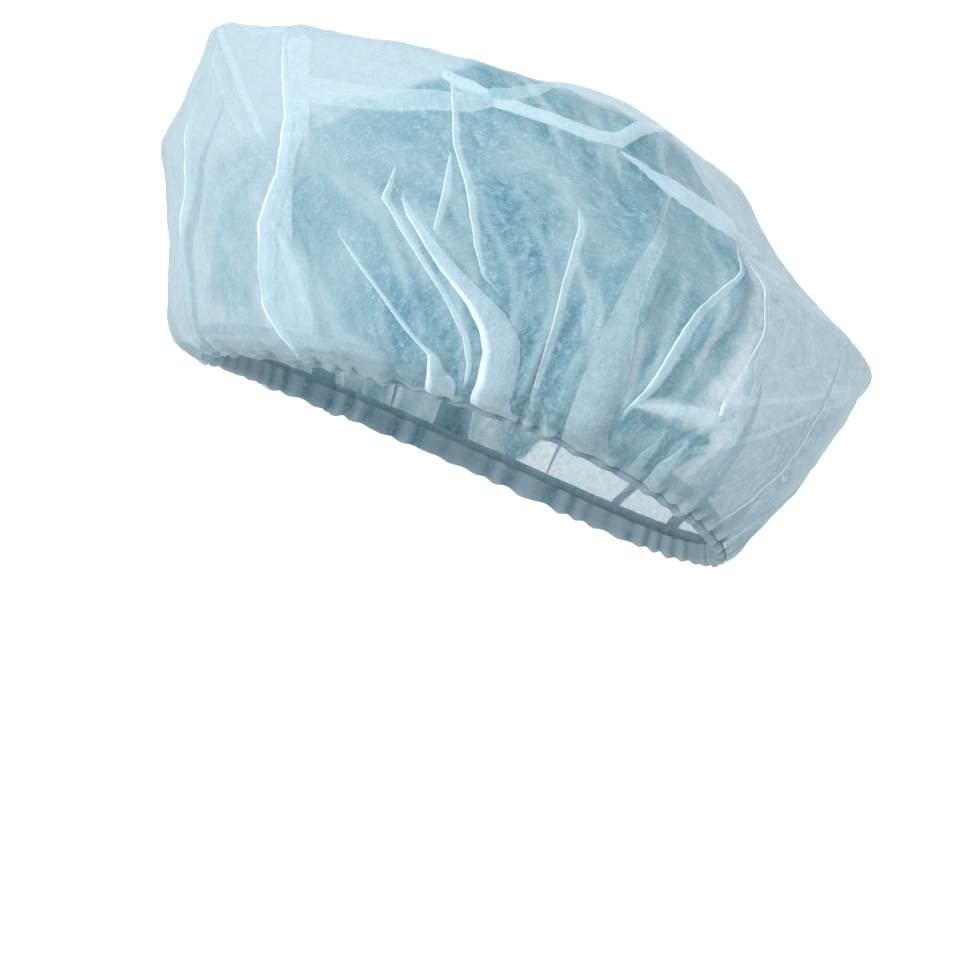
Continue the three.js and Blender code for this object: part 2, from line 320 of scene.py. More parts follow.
WEARER_LEFT_PLEATS = (
    Pleat("brow_fold", ((0, 3), (2.4, 4.5), (3.2, 5.5), (4, 7.5), (4.8, 9), (5.3, 9), (5.8, 6.5), (12, 5)),
          ((2.6, 0.3), (3.4, 1.4), (4.8, 1.8), (5.7, 0.3)), fine=True),
    Pleat("forehead_fold",
          ((0, 38), (0.9, 39), (1.4, 36), (2, 33), (2.6, 30.5), (3.4, 29.5), (4, 32), (4.5, 34.5),
           (5.1, 35.5),
           (5.7, 34), (6.4, 30.5), (7, 27.5), (7.6, 25), (12, 20)),
          ((0.5, 0.3), (1.4, 1.8), (3.4, 2.6), (4.5, 2.2), (5.7, 1.8), (7, 1.2), (7.6, 0.3))),
    Pleat("temple_streak", ((0, 66.5), (0.9, 66.5), (1.5, 66), (1.9, 61), (2.4, 56), (2.9, 50.5),
          (3.4, 46), (12, 46)),
          ((0, 6), (0.9, 5.5), (1.3, 2.6), (1.7, 0.9), (2.8, 0.7), (3.3, 0.3))),
    Pleat("temple_line", ((0, 73.6), (1.1, 73.4), (1.5, 73), (2, 71), (2.5, 67), (3.1, 61.5),
          (3.7, 56.5), (4.3, 53),
                          (5.1, 55), (12, 52)),
          ((1.0, 0.3), (1.5, 0.8), (3.1, 1.0), (4.3, 1.1), (5.1, 0.3)), fine=True),
    Pleat("temple_pleat", ((0, 75.5), (0.6, 75.4), (1.2, 75.4), (1.8, 75), (2.2, 73.2), (2.6, 69.8),
          (3.1, 64.2), (3.5, 60.8),
                           (4, 57.4), (4.4, 56.2), (12, 56)),
          ((0, 9.5), (0.8, 7.2), (1.8, 6.8), (2.2, 7.2), (2.6, 6.6), (2.9, 5), (3.2, 3.8), (3.6, 2.4),
           (4.2, 0.9), (4.4, 0.3))),
    Pleat("branch_line", ((0, 86.4), (1.5, 83.6), (2.6, 77.6), (3.2, 70), (3.8, 61.9), (4.5, 62.3),
          (5.2, 63.0), (5.8, 63.8),
                          (12, 60)),
          ((3.8, 0.3), (4.4, 0.8), (5.3, 0.8), (5.7, 0.3)), fine=True),
    Pleat("long_line", ((0, 87.4), (1.5, 84.6), (2.6, 78.8), (3.1, 71.3), (3.7, 68.6), (4.4, 67),
          (5.2, 66), (5.9, 64.7),
                        (6.4, 63.5), (7, 62.2), (7.6, 61.2), (12, 61)),
          ((3.1, 0.3), (4, 0.9), (5.9, 1.0), (7, 0.9), (7.6, 0.3)), fine=True),
    Pleat("ear_line", ((0, 88.6), (1, 86), (1.6, 85.6), (2.2, 84.8), (2.8, 84), (3.5, 83.2), (4.6, 83),
          (5.4, 83.5), (12, 84)),
          ((1, 0.3), (1.8, 1.0), (3.5, 0.9), (4.8, 0.8), (5.3, 0.3)), fine=True),
    Pleat("ear_pleat", ((0, 95), (0.5, 94.5), (1, 93.8), (1.5, 93.2), (2, 92.8), (3, 92.3), (4, 92.8),
          (4.5, 93.3), (5, 94.6),
                        (5.4, 97), (5.8, 100.4), (6.2, 103.5), (6.6, 106.5), (12, 106)),
          ((0, 11.5), (0.5, 10), (1, 8.5), (1.5, 7.4), (2, 6.8), (2.5, 5.8), (3, 4.5), (3.4, 3.6),
           (4, 2.9), (4.5, 2.6),
           (5, 2.2), (5.4, 2), (6, 1.2), (6.6, 0.3)), rise_mm=0.45, pale=0.74),
    Pleat("slant_line", ((0, 107.6), (1.2, 103.5), (1.6, 102.5), (2, 103.2), (2.4, 104), (3, 104.8),
          (3.5, 105.5), (4, 106.6),
                         (4.4, 108.5), (4.9, 112), (5.3, 115.5), (5.7, 118.5), (6.1, 121), (12, 122)),
          ((1.6, 0.3), (2.2, 1.3), (3, 1.6), (4, 1.3), (5.2, 1.1), (6, 0.3)), fine=True),
    Pleat("nape_fan_a", ((0, 110.5), (0.8, 110.6), (1.5, 111.8), (3, 112), (12, 126)), ((0, 2.6),
          (0.8, 2.0), (1.4, 0.3)), fine=True, pale=0.8),
    Pleat("nape_fan_b", ((0, 115.4), (0.7, 115.4), (1.5, 117), (12, 128)), ((0, 2.8), (0.7, 2.2),
          (1.4, 0.3)), fine=True, pale=0.8),
    Pleat("nape_flap", ((0, 120.8), (1.6, 121), (2.3, 117.4), (2.6, 117), (3, 117.4), (3.5, 117.6),
          (4, 117.4), (4.5, 118.2),
                        (5, 119.8), (5.5, 121.3), (6, 122.8), (12, 130)),
          ((2.3, 3), (2.5, 4.4), (2.8, 4.8), (3.1, 4.2), (3.4, 1.6), (4, 1.0), (5, 1.2), (5.9, 0.4))),
    Pleat("rear_corner_fold", ((0, 140), (2, 143), (3.4, 144.5), (3.9, 143), (4.5, 146), (5, 150),
          (12, 150)),
          ((0, 1.6), (1.2, 1.8), (2.4, 1.2), (3.3, 1.6), (4.2, 1.4), (4.9, 0.3)), LapSide.RIGHT, 0.5, True),
    Pleat("nape_gather_a", ((0, 152), (1.2, 154), (2.6, 158), (4, 160), (12, 160)), ((0, 3.0),
          (1.0, 1.8), (2.2, 0.3)), rise_mm=0.5, fine=True),
    Pleat("nape_gather_b", ((0, 168), (1.5, 170), (3, 171), (4.6, 172), (12, 172)), ((0, 2.6),
          (1.2, 1.6), (2.6, 0.3)), rise_mm=0.5, fine=True),
)

WEARER_RIGHT_PLEATS = (
    Pleat("nape_gather_c", ((0, 186), (1.5, 187), (3, 190), (12, 190)), ((0, 4), (1.5, 2.8), (3, 0.4)),
          LapSide.RIGHT),
    Pleat("nape_gather_d", ((0, 203), (1.5, 202), (3, 203), (4.6, 206), (12, 206)), ((0, 3.4), (2, 3.8),
          (4.4, 0.3)), LapSide.RIGHT),
    Pleat("right_rear_fold", ((0, 222), (2, 218), (4, 219), (5.6, 222), (12, 222)), ((0, 2.2), (2, 2.8),
          (4, 1.8), (5.5, 0.3))),
    Pleat("right_nape_line", ((0, 236), (2, 238), (4, 241), (5.8, 240), (12, 240)), ((1, 0.3),
          (2.5, 1.1), (4.4, 1.0), (5.6, 0.3)),
          fine=True),
    Pleat("right_ear_pleat", ((0, 252), (1, 254), (2, 256), (3.4, 258.5), (5, 261), (6.4, 262), (12, 262)),
          ((0, 9.5), (1, 8), (2, 6), (3.4, 3.6), (5, 1.6), (6.2, 0.3)), LapSide.RIGHT),
    Pleat("right_ear_line", ((0, 270), (2, 271), (4, 274), (6, 273), (12, 272)), ((1.4, 0.3), (3, 1.0),
          (5, 0.9), (5.8, 0.3)), fine=True),
    Pleat("right_temple_pleat", ((0, 281), (1.2, 281.5), (2.2, 284), (3.2, 291), (4.4, 296), (12, 296)),
          ((0, 8.4), (1.2, 7.4), (2.2, 6), (3.2, 2.6), (4.3, 0.3)), LapSide.RIGHT),
    Pleat("right_temple_line", ((0, 300), (2, 299), (4, 301), (6, 299), (7.4, 300), (12, 302)),
          ((2, 0.3), (4, 1.0), (6, 1.0), (7.2, 0.3)), fine=True),
    Pleat("right_brow_fold", ((0, 318), (1.4, 320), (3.4, 325), (5, 322), (7, 328), (12, 334)),
          ((0.5, 0.3), (1.4, 2.0), (3.4, 2.8), (5, 2.2), (6.8, 0.3)), LapSide.RIGHT),
    Pleat("right_brow_line", ((0, 343), (3, 345), (5, 342), (6.4, 346), (12, 350)), ((1.6, 0.3),
          (3, 1.4), (5, 1.4), (6.2, 0.3)),
          fine=True),
)

# Laid one by one; the rest of BANDS is worked out below.
LAID_BANDS = (
    Band("over_ear", ((62.5, 7.55, 3.5), (67, 7.42, 4.5), (73, 7.27, 4.5), (82, 7.27, 4.5),
          (92, 7.25, 5), (99, 7.4, 5.5),
                      (106, 7.85, 5), (114, 8.3, 5.5), (122, 8.7, 5), (132, 8.95, 1.2))),
    Band("rear_wedge", ((98, 7.15, 1.5), (104, 6.95, 5), (110, 6.8, 8), (116, 6.7, 10), (122, 6.6, 11),
          (131, 6.4, 3))),
    Band("low_wedge", ((103.5, 1.78, 1.0), (108, 1.9, 3.5), (113, 2.05, 5.5), (118, 2.15, 6.5),
          (124, 2.2, 8))),
    Band("rear_triangle", ((141, 4.05, 1.5), (145, 3.85, 4), (150, 3.95, 5), (156, 4.2, 4)), pale=0.7),
    Band("brow_slant", ((4, 7.75, 2.5), (10, 7.2, 3), (17, 6.6, 3), (24, 5.95, 3), (32, 5.15, 2)),
          pale=0.6),
    Band("peak_crease", ((6, 7.95, 2), (11, 8.05, 2.5), (16, 7.7, 2.5), (24, 7.8, 2)), pale=0.5),
    Band("right_over_ear", ((298, 7.6, 3), (290, 7.3, 4.5), (276, 7.5, 5), (262, 7.35, 4.5),
          (248, 7.9, 4.5), (240, 8.3, 4),
                            (230, 8.6, 1.2))),
    Band("right_rear_wedge", ((262, 7.0, 1.5), (252, 6.7, 6), (242, 6.5, 9), (238, 6.4, 8),
          (229, 6.3, 2)), pale=0.8),
    Band("right_brow_slant", ((352, 7.6, 2.5), (342, 6.9, 3), (334, 6.1, 3)), pale=0.6),
)

def beside(pleat: Pleat, name: str, offset: float, widths: Path) -> Band:
    """A pale panel that keeps a fixed angle beside a pleat's left border.

    Args:
        pleat: the pleat it follows.
        name: the panel's name.
        offset: degrees from the border.
        widths: (level, width in mm) pairs, one for each place of the panel.
    """
    line = tuple((float(along_path(pleat.left, level)) + offset, level, width) for level, width in widths)
    return Band(name, line, 0.5, 0.75)


def crown_arc(start: tuple[float, float], end: tuple[float, float], widths: tuple[float, ...]) -> Band:
    """A pale panel that curves from a place on the side up on to the crown, steeper as it goes."""
    shares = np.linspace(0, 1, len(widths))
    angles = start[0] + (end[0] - start[0]) * shares
    levels = start[1] + (end[1] - start[1]) * shares**2
    return Band("arc_panel", tuple(zip(angles, levels, widths)), 0.3, 0.6)


def tip_rays(tip: tuple[float, float], side: float, levels: tuple[float, ...]) -> tuple[Band, ...]:
    """Narrow pale creases that gather from the side of the cap into its rear tip."""
    return tuple(Band(f"tip_ray_{index}", ((side, level, 3.0), (*tip, 1.2)), 0.4, 0.65)
                 for index, level in enumerate(levels))


REAR_TIP = (160, 4.5)
FOREHEAD_FOLD = next(pleat for pleat in WEARER_LEFT_PLEATS if pleat.name == "forehead_fold")
BANDS = LAID_BANDS + (
    beside(FOREHEAD_FOLD, "brow_panel", 4, ((1.5, 18), (3, 12), (4, 5), (5.5, 4), (7.5, 8))),
    crown_arc((35, 6.5), (100, 9), (10, 9, 7, 4, 2)),
    Band("brow_edge", ((1, 1, 4), (45, 1, 6)), 0.3, 0.6),
    Band("peak_slant", ((5, 7, 1.5), (35, 4.5, 1.5)), 0.3, 0.7),
) + tip_rays(REAR_TIP, 120, (6.5, 2.5, 1.5))


RIDGES = (
    Ridge((27, 7.8), (37, 5.2), 9, 2.2),
    Ridge((37, 5.2), (33, 1.6), 9, 2.4),
    Ridge((5, 7.7), (32, 5), 9, 1.6),
    Ridge((56, 4.4), (72, 1.4), 8, -2.0),
    Ridge((60, 4.2), (79, 0.8), 9, 2.8),
    Ridge((97, 5.6), (98, 0.8), 9, 2.8),
    Ridge((88, 4.6), (88, 1.2), 8, -1.6),
    Ridge((120, 6.1), (104, 2.0), 8, 2.0),
    Ridge((63, 7.6), (95, 7.3), 8, 1.8),
    Ridge((95, 7.3), (122, 8.6), 8, 1.8),
    Ridge((98, 7.1), (122, 6.4), 9, 2.0),
    Ridge((104, 1.8), (123, 2.2), 8, 2.2),
    Ridge((128, 8.2), (150, 4.6), 10, 2.0),
    Ridge((152, 4.2), (146, 0.9), 9, 2.0),
    Ridge((184, 8.0), (178, 5.6), 10, 1.8),
    Ridge((222, 7.6), (205, 4.4), 10, 2.0),
    Ridge((214, 3.8), (222, 0.9), 9, 2.2),
    Ridge((243, 6.6), (252, 1.6), 9, 2.4),
    Ridge((262, 5.2), (270, 0.8), 9, 2.8),
    Ridge((281, 5.0), (282, 1.4), 9, -1.8),
    Ridge((305, 6.8), (296, 1.2), 9, 2.4),
    Ridge((296, 7.6), (250, 7.9), 9, 1.8),
    Ridge((340, 6.9), (322, 2.0), 10, 2.2),
    Ridge((3, 4.8), (8, 1.8), 9, 1.6),
    Ridge((40, 8.2), (62, 10.6), 9, 1.6),
    Ridge((322, 8.2), (290, 10.4), 9, 1.6),
    Ridge((150, 8.4), (200, 10.6), 9, 1.8),
    Ridge((138, 5.05), (222, 5.05), 9, 2.4),
    Ridge((138, 6.0), (222, 6.0), 20, 2.6),
    Ridge((334, 8.05), (26, 8.05), 12, 2.6),
)

@dataclass(frozen=True)
class Patch:
    """An area of the crown, as an outline of (angle, level) corners, with how strongly it is shaded."""

    outline: Path
    shade: float = 1.0


@dataclass(frozen=True)
class Streak:
    """A soft pale streak that clears the painted shade where the cloth stands off a little: (angle, level) places
    along its middle.
    """

    line: Path
    half_width_mm: float
    strength: float


STREAK_FOOT_LEVELS = (1.5, 2.7)
STREAK_RISES = (1.5, 3.2)
STREAK_HALF_WIDTHS_MM = (3, 5)
STREAK_STRENGTHS = (0.45, 0.75)
STREAK_SWAY = 2
LEAN_BY_MIDDLE = 0.35


def streak_fan(foot: float, last_foot: float, lean: float, count: int, seed: int) -> tuple[Streak, ...]:
    """Streaks that rise from the gathers and lean towards the brow, less and less towards the ear.

    Args:
        foot: degrees of the foot nearest the brow.
        last_foot: degrees of the foot behind the ear.
        lean: how many degrees the first one leans, towards the brow.
        count: how many streaks.
        seed: seed of their unevenness.
    """
    draw = np.random.default_rng(seed)
    streaks = []
    for share in np.linspace(0, 1, count):
        low = draw.uniform(*STREAK_FOOT_LEVELS)
        high = low + draw.uniform(*STREAK_RISES)
        base = foot + (last_foot - foot) * share + draw.uniform(-STREAK_SWAY, STREAK_SWAY)
        top = base + lean * (1 - share)
        middle = base + (top - base) * LEAN_BY_MIDDLE
        places = ((base, low), (middle, (low + high) / 2), (top, high))
        streaks.append(Streak(places, draw.uniform(*STREAK_HALF_WIDTHS_MM),
                              draw.uniform(*STREAK_STRENGTHS)))
    return tuple(streaks)


STREAKS = (
    streak_fan(foot=60, last_foot=110, lean=-20, count=11, seed=21)
    + streak_fan(foot=300, last_foot=250, lean=20, count=8, seed=22)
)


# Painted shade where the head, left out, would lie behind the cloth, with weaker patches of painted shade at the
# rear and the nape: their edges, as (angle, level) corners.
PAINTED_SHADE_PATCHES = (
    Patch((
        (40, 5.6), (45, 6.2), (52, 6.95), (60, 7.45), (68, 8), (76, 8.5), (84, 8.9), (92, 9.25),
        (104, 9.45), (114, 9.2), (121, 8.4), (123, 7.4), (122.5, 6.6), (121, 6), (118.5, 5.1),
        (116.5, 4.2), (116.3, 3.8), (117.2, 3.3), (117, 2.9), (116, 2.35), (112, 2.2), (104, 1.95),
        (104, 1.7), (112, 1.8), (120, 1.9), (124, 1.75), (120, 1.2), (117, -0.5), (57, -0.5),
        (58.5, 1.3), (52, 1.55), (48, 1.8), (44, 2.5), (38.5, 3), (35.2, 3.5), (35.8, 3.95), (39, 4.5),
    )),
    Patch((
        (14, 2), (16, 1.85), (24, 1.9), (30.5, 1.85), (31, 2.3), (29.8, 2.7), (29, 3.3), (28, 4),
        (31, 4.4), (33.5, 4.9), (31, 4.75), (26, 4.3), (20, 3.7), (18.3, 3.2), (17.5, 2.8), (15, 2.4),
    ), 0.75),
    Patch((
        (320, 5.5), (314, 6.3), (306, 7), (298, 7.5), (288, 8.3), (276, 9), (262, 9.4), (250, 9.2),
        (240, 8.3), (238, 7.2), (240, 6.2), (243, 5), (245, 4), (243, 3), (240, 2), (243, 1),
        (246, -0.5), (303, -0.5), (304, 1.4), (312, 2), (320, 3), (323, 3.8),
    )),
    Patch((
        (343, 2.2), (332, 2.1), (330, 2.8), (332, 3.4), (337, 3.9), (341, 3.3)
    ), 0.4),
    Patch(((124, 8.2), (133, 6.4), (136, 5.2), (134, 4.2), (128, 3.0), (124, 2.4), (118, 2.6), (118, 4),
          (121, 6)), 0.32),
    Patch(((126, 2.2), (140, 3.2), (158, 4.2), (160, 2.8), (150, -0.5), (124, -0.5), (118, 0.4)), 0.55),
    Patch(((236, 8.2), (227, 6.4), (224, 5.2), (226, 4.2), (232, 3), (240, 2.4), (243, 4), (240, 6)), 0.32),
)

# Where only one very thin layer is left, so that light comes through.
FLAP_ANGLE = 119
THIN_PATCHES = (
    Patch(((FLAP_ANGLE, 4), (FLAP_ANGLE - 4, 2.5), (FLAP_ANGLE + 4, 2.5))),
    Patch(((FLAP_ANGLE + 1, 2), (FLAP_ANGLE + 6, 2), (FLAP_ANGLE + 4, 1.5)), 0.9),
)


# ---------------------------------------------------------------- meshes


def grid_faces(rows: int, columns: int, closed_round: bool = True) -> np.ndarray:
    """Four-cornered faces of a grid of points stored row by row.

    Args:
        rows: number of rows.
        columns: number of columns.
        closed_round: whether the last column joins the first.

    Returns:
        Array of faces by four point numbers, counter-clockwise for columns to the right and rows up.
    """
    here = np.arange(columns if closed_round else columns - 1)
    there = (here + 1) % columns
    low = (np.arange(rows - 1) * columns)[:, None]
    faces = np.stack([low + here, low + there, low + columns + there, low + columns + here], axis=-1)
    return faces.reshape(-1, 4)


def make_piece(name: str, points: np.ndarray, faces: np.ndarray,
               fans: np.ndarray | None = None) -> bpy.types.Object:
    """Puts points and faces into a new smooth-shaded object of the scene.

    Args:
        name: the piece's name.
        points: points by three coordinates.
        faces: faces by four point numbers.
        fans: triangles by three point numbers that close a pole, if any.

    Returns:
        The new object, at the origin.
    """
    corners = faces.ravel() if fans is None else np.concatenate([faces.ravel(), fans.ravel()])
    fan_count = 0 if fans is None else len(fans)
    totals = np.concatenate([np.full(len(faces), 4), np.full(fan_count, 3)])
    mesh = bpy.data.meshes.new(name)
    mesh.vertices.add(len(points))
    mesh.vertices.foreach_set("co", points.astype(np.float32).ravel())
    mesh.loops.add(len(corners))
    mesh.loops.foreach_set("vertex_index", corners.astype(np.int32))
    mesh.polygons.add(len(totals))
    mesh.polygons.foreach_set("loop_start", np.concatenate([[0], np.cumsum(totals)[:-1]]).astype(np.int32))
    mesh.polygons.foreach_set("use_smooth", np.ones(len(totals), bool))
    mesh.update(calc_edges=True)
    mesh.validate()
    piece = bpy.data.objects.new(name, mesh)
    bpy.context.scene.collection.objects.link(piece)
    return piece


def add_uv(piece: bpy.types.Object, name: str, plan: np.ndarray) -> None:
    """Gives each face corner its point's place on the flat cloth.

    Args:
        piece: the piece.
        name: the map's name.
        plan: points by two coordinates.
    """
    mesh = piece.data
    corner_points = np.empty(len(mesh.loops), np.int32)
    mesh.loops.foreach_get("vertex_index", corner_points)
    layer = mesh.uv_layers.new(name=name)
    layer.data.foreach_set("uv", plan[corner_points].astype(np.float32).ravel())


def add_shade(piece: bpy.types.Object, name: str, values: np.ndarray) -> None:
    """Stores one number for each point, for the finish to read."""
    attribute = piece.data.attributes.new(name, "FLOAT", "POINT")
    attribute.data.foreach_set("value", values.astype(np.float32).ravel())


# ---------------------------------------------------------------- finishes


class NodeBench:
    """A small helper that lays out a material's nodes."""

    def __init__(self, name: str) -> None:
        """Makes an empty material.

        Args:
            name: the material's name.
        """
        self.material = bpy.data.materials.new(name)
        self.material.use_nodes = True
        self.tree = self.material.node_tree
        self.tree.nodes.clear()

    def add(self, kind: str, **settings: object) -> bpy.types.Node:
        """Adds a node.

        Args:
            kind: the node's type name.
            settings: attributes to set on it.

        Returns:
            The node.
        """
        node = self.tree.nodes.new(kind)
        for key, value in settings.items():
            setattr(node, key, value)
        return node

    def join(self, source: bpy.types.NodeSocket, target: bpy.types.NodeSocket) -> None:
        """Links an output to an input."""
        self.tree.links.new(source, target)

    def shade(self, name: str) -> bpy.types.NodeSocket:
        """Reads a number stored on the piece's points."""
        return self.add("ShaderNodeAttribute", attribute_name=name).outputs["Fac"]

    def plan(self, name: str, scale: tuple[float, float, float] = (1, 1, 1),
             turn: float = 0.0) -> bpy.types.NodeSocket:
        """Reads the flat cloth's coordinates, stretched and turned.

        Args:
            name: the map's name.
            scale: stretch along each direction.
            turn: radians.

        Returns:
            The coordinates.
        """
        source = self.add("ShaderNodeUVMap", uv_map=name)
        mapping = self.add("ShaderNodeMapping")
        mapping.inputs["Rotation"].default_value = (0, 0, turn)
        mapping.inputs["Scale"].default_value = scale
        self.join(source.outputs["UV"], mapping.inputs["Vector"])
        return mapping.outputs["Vector"]

    def noise(self, place: bpy.types.NodeSocket, scale: float, detail: float, roughness: float = 0.6,
              distortion: float = 0.0) -> bpy.types.NodeSocket:
        """Adds a noise texture.

        Args:
            place: coordinates.
            scale: how many grains to a metre.
            detail: octaves.
            roughness: weight of the finer octaves.
            distortion: how far the pattern is bent.

        Returns:
            Its height, 0 to 1.
        """
        node = self.add("ShaderNodeTexNoise")
        node.inputs["Scale"].default_value = scale
        node.inputs["Detail"].default_value = detail
        node.inputs["Roughness"].default_value = roughness
        node.inputs["Distortion"].default_value = distortion
        self.join(place, node.inputs["Vector"])
        return node.outputs["Fac"]

    def spread(self, value: bpy.types.NodeSocket, low: float, high: float, to_low: float = 0.0,
               to_high: float = 1.0) -> bpy.types.NodeSocket:
        """Maps a range of a value to another range, clipped.

        Args:
            value: the value.
            low: start of its range.
            high: end of its range.
            to_low: result at low.
            to_high: result at high.

        Returns:
            The result.
        """
        node = self.add("ShaderNodeMapRange")
        node.inputs["From Min"].default_value = low
        node.inputs["From Max"].default_value = high
        node.inputs["To Min"].default_value = to_low
        node.inputs["To Max"].default_value = to_high
        self.join(value, node.inputs["Value"])
        return node.outputs["Result"]

    def reckon(self, kind: str, first: bpy.types.NodeSocket,
               second: bpy.types.NodeSocket | float) -> bpy.types.NodeSocket:
        """Combines two numbers.

        Args:
            kind: the operation's name.
            first: a value.
            second: a value or a constant.

        Returns:
            The result.
        """
        node = self.add("ShaderNodeMath", operation=kind)
        self.join(first, node.inputs[0])
        if isinstance(second, (int, float)):
            node.inputs[1].default_value = second
        else:
            self.join(second, node.inputs[1])
        return node.outputs["Value"]

    def blend(self, share: bpy.types.NodeSocket, first: object, second: object) -> bpy.types.NodeSocket:
        """Blends two colours.

        Args:
            share: how much of the second.
            first: a colour or a socket.
            second: a colour or a socket.

        Returns:
            The blended colour.
        """
        node = self.add("ShaderNodeMix", data_type="RGBA")
        self.join(share, node.inputs["Factor"])
        for colour, socket in ((first, node.inputs[6]), (second, node.inputs[7])):
            if isinstance(colour, tuple):
                socket.default_value = (*colour, 1)
            else:
                self.join(colour, socket)
        return node.outputs[2]


@dataclass(frozen=True)
class SheerCloth:
    """Spunbond non-woven: matted fibres, see-through where it is single.

    Colours are linear. The darker tint is painted shade where the head, left out, would lie behind the cloth, and
    in the hem's gather pockets; the edge tint is a painted highlight along the laps' folded edges.
    """

    name: str
    free: tuple[float, float, float] = (0.322, 0.44, 0.50)
    shade_tint: tuple[float, float, float] = (0.032, 0.160, 0.218)
    shade_fibre: tuple[float, float, float] = (0.27, 0.42, 0.485)
    lapped: tuple[float, float, float] = (0.40, 0.54, 0.61)
    free_cover: float = 0.71
    shade_cover: float = 0.97
    lapped_cover: float = 0.93
    glow: float = 0.40
    roughness: float = 0.78
    fibre_tint: tuple[float, float, float] = (0.50, 0.62, 0.68)
    edge_highlight: tuple[float, float, float] = (0.78, 0.86, 0.90)
    strand_scale: float = 430.0
    strand_stretch: float = 0.3
    mottle_scale: float = 260.0
    cloud_scale: float = 26.0
    streak_scale: float = 85.0
    streak_stretch: float = 0.18
    bump_height: float = 0.00025

    def strands(self, bench: NodeBench, turn: float, thickness: float) -> bpy.types.NodeSocket:
        """Thin pale fibres: the crests of a stretched noise.

        Args:
            bench: the material's bench.
            turn: direction of the fibres on the cloth map, in radians.
            thickness: how fine the noise is against strand_scale.

        Returns:
            1 on a fibre, 0 beside it.
        """
        place = bench.plan("cloth", (1, self.strand_stretch, 1), turn)
        grain = bench.noise(place, self.strand_scale * thickness, 1, 0.6, 1.4)
        away = bench.reckon("ABSOLUTE", bench.reckon("SUBTRACT", grain, 0.5), 0.0)
        return bench.spread(away, 0.0, 0.055, 1.0, 0.0)

    def streaks(self, bench: NodeBench, turn: float) -> bpy.types.NodeSocket:
        """Long soft streaks where the cloth stands off a little; they clear the painted shade.

        Args:
            bench: the material's bench.
            turn: direction of the streaks on the cloth map, in radians.

        Returns:
            1 on a streak, 0 beside it.
        """
        place = bench.plan("cloth", (self.streak_stretch, 1, 1), turn)
        return bench.spread(bench.noise(place, self.streak_scale, 2, 0.6, 0.3), 0.50, 0.70)

    def material(self) -> bpy.types.Material:
        """Builds the finish.

        Returns:
            The material. It reads the cloth map and the shades contact, lapped, hem, thin, band_depth and
            band_pale.
        """
        bench = NodeBench(self.name)
        painted_shade, lapped, hem = bench.shade("painted_shade"), bench.shade("lapped"), bench.shade("hem")
        band = bench.reckon("MULTIPLY", bench.spread(bench.shade("band_depth"), -0.15, 0.15, 0.0, 0.9),
                         bench.shade("band_pale"))
        lapped = bench.reckon("MAXIMUM", lapped, band)
        place = bench.plan("cloth")
        mottle = bench.noise(place, self.mottle_scale, 4, 0.68, 0.5)
        clouds = bench.noise(place, self.cloud_scale, 2, 0.55)
        strands = bench.reckon("MAXIMUM", self.strands(bench, 0.5, 1.0), self.strands(bench, -0.7, 1.3))
        streaks = bench.reckon("MAXIMUM", self.streaks(bench, 0.45), self.streaks(bench, -0.6))
        fibre = bench.reckon("MULTIPLY", strands, bench.spread(mottle, 0.35, 0.65, 0.1, 0.55))
        fibre = bench.reckon("ADD", fibre, bench.spread(mottle, 0.36, 0.66, 0.0, 0.45))
        # Painted shade of the absent head and of the gather pockets: mottled, then cleared along the streaks and
        # clouds.
        mottled_shade = bench.reckon("ADD", painted_shade, bench.spread(mottle, 0.3, 0.7, -0.22, 0.22))
        painted_shade = bench.spread(mottled_shade, 0.22, 0.78)
        loose = bench.reckon("MAXIMUM", streaks, bench.spread(clouds, 0.42, 0.70))
        painted_shade = bench.reckon("MULTIPLY", painted_shade, bench.spread(loose, 0.0, 1.0, 1.0, 0.42))
        # The darker tint is the painted shade's colour, with paler fibres in it.
        shade_tint = bench.blend(fibre, self.shade_tint, self.shade_fibre)
        single = bench.blend(painted_shade, self.free, shade_tint)
        lap_tint = bench.blend(bench.reckon("MULTIPLY", fibre, 0.4), self.lapped, self.fibre_tint)
        colour = bench.blend(bench.reckon("MULTIPLY", lapped, 0.92), single, lap_tint)
        # Painted highlight along the laps' folded edges.
        colour = bench.blend(bench.spread(lapped, 0.93, 0.97, 0.0, 0.8), colour, self.edge_highlight)
        # The cloth is more opaque where the painted shade lies.
        cover = bench.reckon("MULTIPLY", painted_shade, self.shade_cover - self.free_cover)
        cover = bench.reckon("ADD", cover, self.free_cover)
        cover = bench.reckon("MAXIMUM", cover, bench.reckon("MULTIPLY", lapped, self.lapped_cover))
        cover = bench.reckon("MAXIMUM", cover, bench.reckon("MULTIPLY", hem, 0.92))
        cover = bench.reckon("ADD", cover, bench.spread(fibre, 0.0, 1.0, -0.07, 0.16))
        cover = bench.reckon("MULTIPLY", cover, bench.spread(bench.shade("thin"), 0.0, 1.0, 1.0, 0.15))
        height = bench.reckon("ADD", fibre, bench.reckon("MULTIPLY", mottle, 1.6))
        bump = bench.add("ShaderNodeBump")
        bump.inputs["Strength"].default_value = 0.55
        bump.inputs["Distance"].default_value = self.bump_height
        bench.join(height, bump.inputs["Height"])
        cloth = bench.add("ShaderNodeBsdfPrincipled")
        cloth.inputs["Roughness"].default_value = self.roughness
        cloth.inputs["Sheen Weight"].default_value = 0.25
        cloth.inputs["Sheen Roughness"].default_value = 0.4
        bench.join(colour, cloth.inputs["Base Color"])
        bench.join(bump.outputs["Normal"], cloth.inputs["Normal"])
        through = bench.add("ShaderNodeBsdfTranslucent")
        bench.join(colour, through.inputs["Color"])
        bench.join(bump.outputs["Normal"], through.inputs["Normal"])
        lit = bench.add("ShaderNodeMixShader")
        lit.inputs["Fac"].default_value = self.glow
        bench.join(cloth.outputs["BSDF"], lit.inputs[1])
        bench.join(through.outputs["BSDF"], lit.inputs[2])
        clear = bench.add("ShaderNodeBsdfTransparent")
